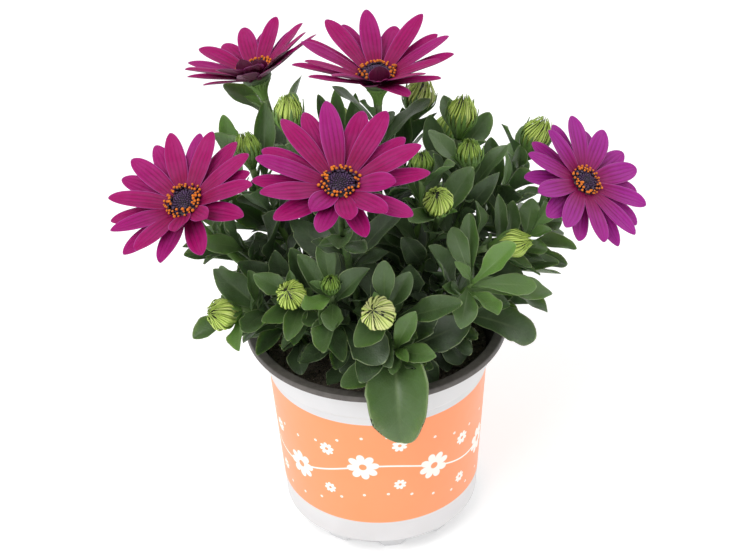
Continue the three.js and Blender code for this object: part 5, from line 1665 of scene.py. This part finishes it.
LOOKS = (("pot_look", PotLook), ("foliage_look", FoliageLook), ("flower_look", FlowerLook),
         ("stage_look", StageLook))


# ---------------------------------------------------------------- putting pieces together


def heads(kind):
    """Plants of one kind."""
    return [plant for plant in laid_plants() if plant.kind == kind]


def make_each(plants, parts, name, materials, slot, node):
    """Makes one object for each plant from the surfaces of its parts, named after it as its node is."""
    for plant in plants:
        surfaces = Surfaces()
        for part in parts:
            part(surfaces, plant)
        surfaces.make(name.format(plant), materials, slot, node.format(plant))


def drain_cutter():
    """Round rods that stand through the pot's floor where its drain holes are."""
    surfaces = Surfaces()
    profile = ((FLOOR_HEIGHT - 3, DRAIN_RADIUS), (FLOOR_HEIGHT + WALL + 3, DRAIN_RADIUS))
    rods = spike_rings(polar(DRAIN_RING, round_angles(DRAINS), 0), np.tile(vec((0, 0, 1)), (DRAINS, 1)), profile,
                       np.ones(DRAINS), 24)
    surfaces.add_tubes(*rods)
    return surfaces


def drill(piece, cutter):
    """Cuts the cutter's rods out of a piece and keeps the result in its mesh."""
    tool = bpy.data.objects.new("cutter", cutter.mesh("cutter", []))
    bpy.context.scene.collection.objects.link(tool)
    cut = piece.modifiers.new("Drain Holes", "BOOLEAN")
    cut.operation, cut.solver, cut.object = "DIFFERENCE", "EXACT", tool
    whole = piece.data
    drilled = bpy.data.meshes.new_from_object(piece.evaluated_get(bpy.context.evaluated_depsgraph_get()))
    piece.modifiers.remove(cut)
    piece.data, drilled.name = drilled, whole.name
    bpy.data.objects.remove(tool)


FLOOR_REACH = 6.0
SENSOR_WIDTH = 36.0
CLIP_END = 20.0

# power as a share of the key light's, size in metres and place of each lamp
LAMPS = {"key": (1.0, 1.6, (-1.1, -1.2, 1.9)), "rim": (0.25, 1.2, (1.4, 1.0, 1.3))}


def add_floor(look):
    """Wide square floor under the pot."""
    mesh = bpy.data.meshes.new("floor")
    corners = [(x * FLOOR_REACH, y * FLOOR_REACH, 0.0) for x, y in ((-1, -1), (1, -1), (1, 1), (-1, 1))]
    mesh.from_pydata(corners, [], [(0, 1, 2, 3)])
    mesh.materials.append(floor_material(look))
    floor = bpy.data.objects.new("floor", mesh)
    bpy.context.scene.collection.objects.link(floor)


def add_lights(scene, look):
    """Even pale light from all round, a large soft light from the upper front left, and a weak one behind."""
    world = bpy.data.worlds.new("studio")
    world.use_nodes = True
    sky = world.node_tree.nodes["Background"].inputs
    sky["Color"].default_value, sky["Strength"].default_value = WHITE, look.fill
    scene.world = world
    for name, (share, size, place) in LAMPS.items():
        light = bpy.data.lights.new(name, "AREA")
        light.energy, light.size = look.key * share, size
        lamp = bpy.data.objects.new(name, light)
        lamp.location = place
        lamp.rotation_euler = (-Vector(place)).to_track_quat("-Z", "Y").to_euler()
        scene.collection.objects.link(lamp)


def add_camera(scene, look):
    """Camera on a level circle round the plant, turned about its own view by the roll."""
    camera = bpy.data.cameras.new("camera")
    camera.sensor_width, camera.lens, camera.clip_end = SENSOR_WIDTH, look.lens, CLIP_END
    holder = bpy.data.objects.new("camera", camera)
    away, level = vec((0, -math.cos(look.elevation), math.sin(look.elevation))), vec((1, 0, 0))
    right = level * math.cos(look.roll) + np.cross(away, level) * math.sin(look.roll)
    place = vec((0, 0, look.target)) + away * look.distance
    columns = np.stack([right, np.cross(away, right), away, place], axis=1)
    holder.matrix_world = Matrix(np.vstack([columns, (0, 0, 0, 1)]).tolist())
    scene.collection.objects.link(holder)
    scene.camera = holder


# ---------------------------------------------------------------- operators


class PLANT_OT_make_pot(bpy.types.Operator):
    """Adds the pot: a thin wall on a notched foot ring, a printed band, a dark lip and drain holes"""

    bl_idname = "plant.make_pot"
    bl_label = "Make Pot"

    def execute(self, context):
        look = context.scene.pot_look
        surfaces = Surfaces()
        add_pot(surfaces, look.sides)
        pot = surfaces.make("pot_shell", [wall_material(look), liner_material(look)], "pot", "pot")
        drill(pot, drain_cutter())
        return {"FINISHED"}


class PLANT_OT_make_soil(bpy.types.Operator):
    """Fills the pot with peat and strews crumbs over it"""

    bl_idname = "plant.make_soil"
    bl_label = "Make Soil"

    def execute(self, context):
        surfaces = Surfaces()
        add_soil(surfaces)
        surfaces.make("peat", [peat_material(context.scene.pot_look)], "soil", "soil")
        return {"FINISHED"}


class PLANT_OT_make_foliage(bpy.types.Operator):
    """Adds every stem with its leaves and the bracts under its head"""

    bl_idname = "plant.make_foliage"
    bl_label = "Make Foliage"

    def execute(self, context):
        look = context.scene.foliage_look
        make_each(laid_plants(), (add_stem, add_leaves, add_bracts), "foliage_{0.stem}",
                  [leaf_material(look), stem_material(look)], "foliage", "shoot_{0.stem}")
        return {"FINISHED"}


class PLANT_OT_make_rays(bpy.types.Operator):
    """Adds the rays of every bloom"""

    bl_idname = "plant.make_rays"
    bl_label = "Make Rays"

    def execute(self, context):
        green = bpy.data.materials.get("Stem and Bract") or stem_material(context.scene.foliage_look)
        make_each(heads("bloom"), (add_rays,), "rays_{0.name}", [ray_material(context.scene.flower_look), green],
                  "petals", "bloom_{0.name}_rays")
        return {"FINISHED"}


class PLANT_OT_make_discs(bpy.types.Operator):
    """Adds the disc of florets to every bloom"""

    bl_idname = "plant.make_discs"
    bl_label = "Make Discs"

    def execute(self, context):
        look = context.scene.flower_look
        make_each(heads("bloom"), (add_disc,), "florets_{0.name}", [floret_material(look), pollen_material(look)],
                  "disc", "bloom_{0.name}_disc")
        return {"FINISHED"}


class PLANT_OT_make_buds(bpy.types.Operator):
    """Adds the furled rays of every bud"""

    bl_idname = "plant.make_buds"
    bl_label = "Make Buds"

    def execute(self, context):
        make_each(heads("bud"), (add_bud,), "furled_{0.name}", [bud_material(context.scene.flower_look)], "bud",
                  "bud_{0.name}")
        return {"FINISHED"}


class PLANT_OT_set_stage(bpy.types.Operator):
    """Adds the floor, the lights and the camera"""

    bl_idname = "plant.set_stage"
    bl_label = "Set Stage"

    def execute(self, context):
        look = context.scene.stage_look
        add_floor(look)
        add_lights(context.scene, look)
        add_camera(context.scene, look)
        context.scene.view_settings.view_transform = "Standard"
        return {"FINISHED"}


OPERATORS = (PLANT_OT_make_pot, PLANT_OT_make_soil, PLANT_OT_make_foliage, PLANT_OT_make_rays,
             PLANT_OT_make_discs, PLANT_OT_make_buds, PLANT_OT_set_stage)


class PLANT_PT_panel(bpy.types.Panel):
    """Lists the pieces in the order in which they are made, and what can be changed on each."""

    bl_idname = "PLANT_PT_panel"
    bl_label = "Potted Osteospermum"
    bl_space_type = "VIEW_3D"
    bl_region_type = "UI"
    bl_category = "Plant"

    def draw(self, context):
        for operator in OPERATORS:
            self.layout.operator(operator.bl_idname)
        for name, look in LOOKS:
            box = self.layout.box()
            for key in look.__annotations__:
                box.prop(getattr(context.scene, name), key)


CLASSES = (PotLook, FoliageLook, FlowerLook, StageLook, *OPERATORS, PLANT_PT_panel)


def register():
    """Makes the classes known, and hangs the looks on the scene."""
    for kind in CLASSES:
        bpy.utils.register_class(kind)
    for name, look in LOOKS:
        setattr(bpy.types.Scene, name, PointerProperty(type=look))


def unregister():
    """Takes back what register did."""
    for name, _ in LOOKS:
        delattr(bpy.types.Scene, name)
    for kind in reversed(CLASSES):
        bpy.utils.unregister_class(kind)


def main():
    """Registers the add-on and makes every piece."""
    register()
    for make in (bpy.ops.plant.make_pot, bpy.ops.plant.make_soil, bpy.ops.plant.make_foliage,
                 bpy.ops.plant.make_rays, bpy.ops.plant.make_discs, bpy.ops.plant.make_buds,
                 bpy.ops.plant.set_stage):
        make()


if __name__ == "__main__":
    main()
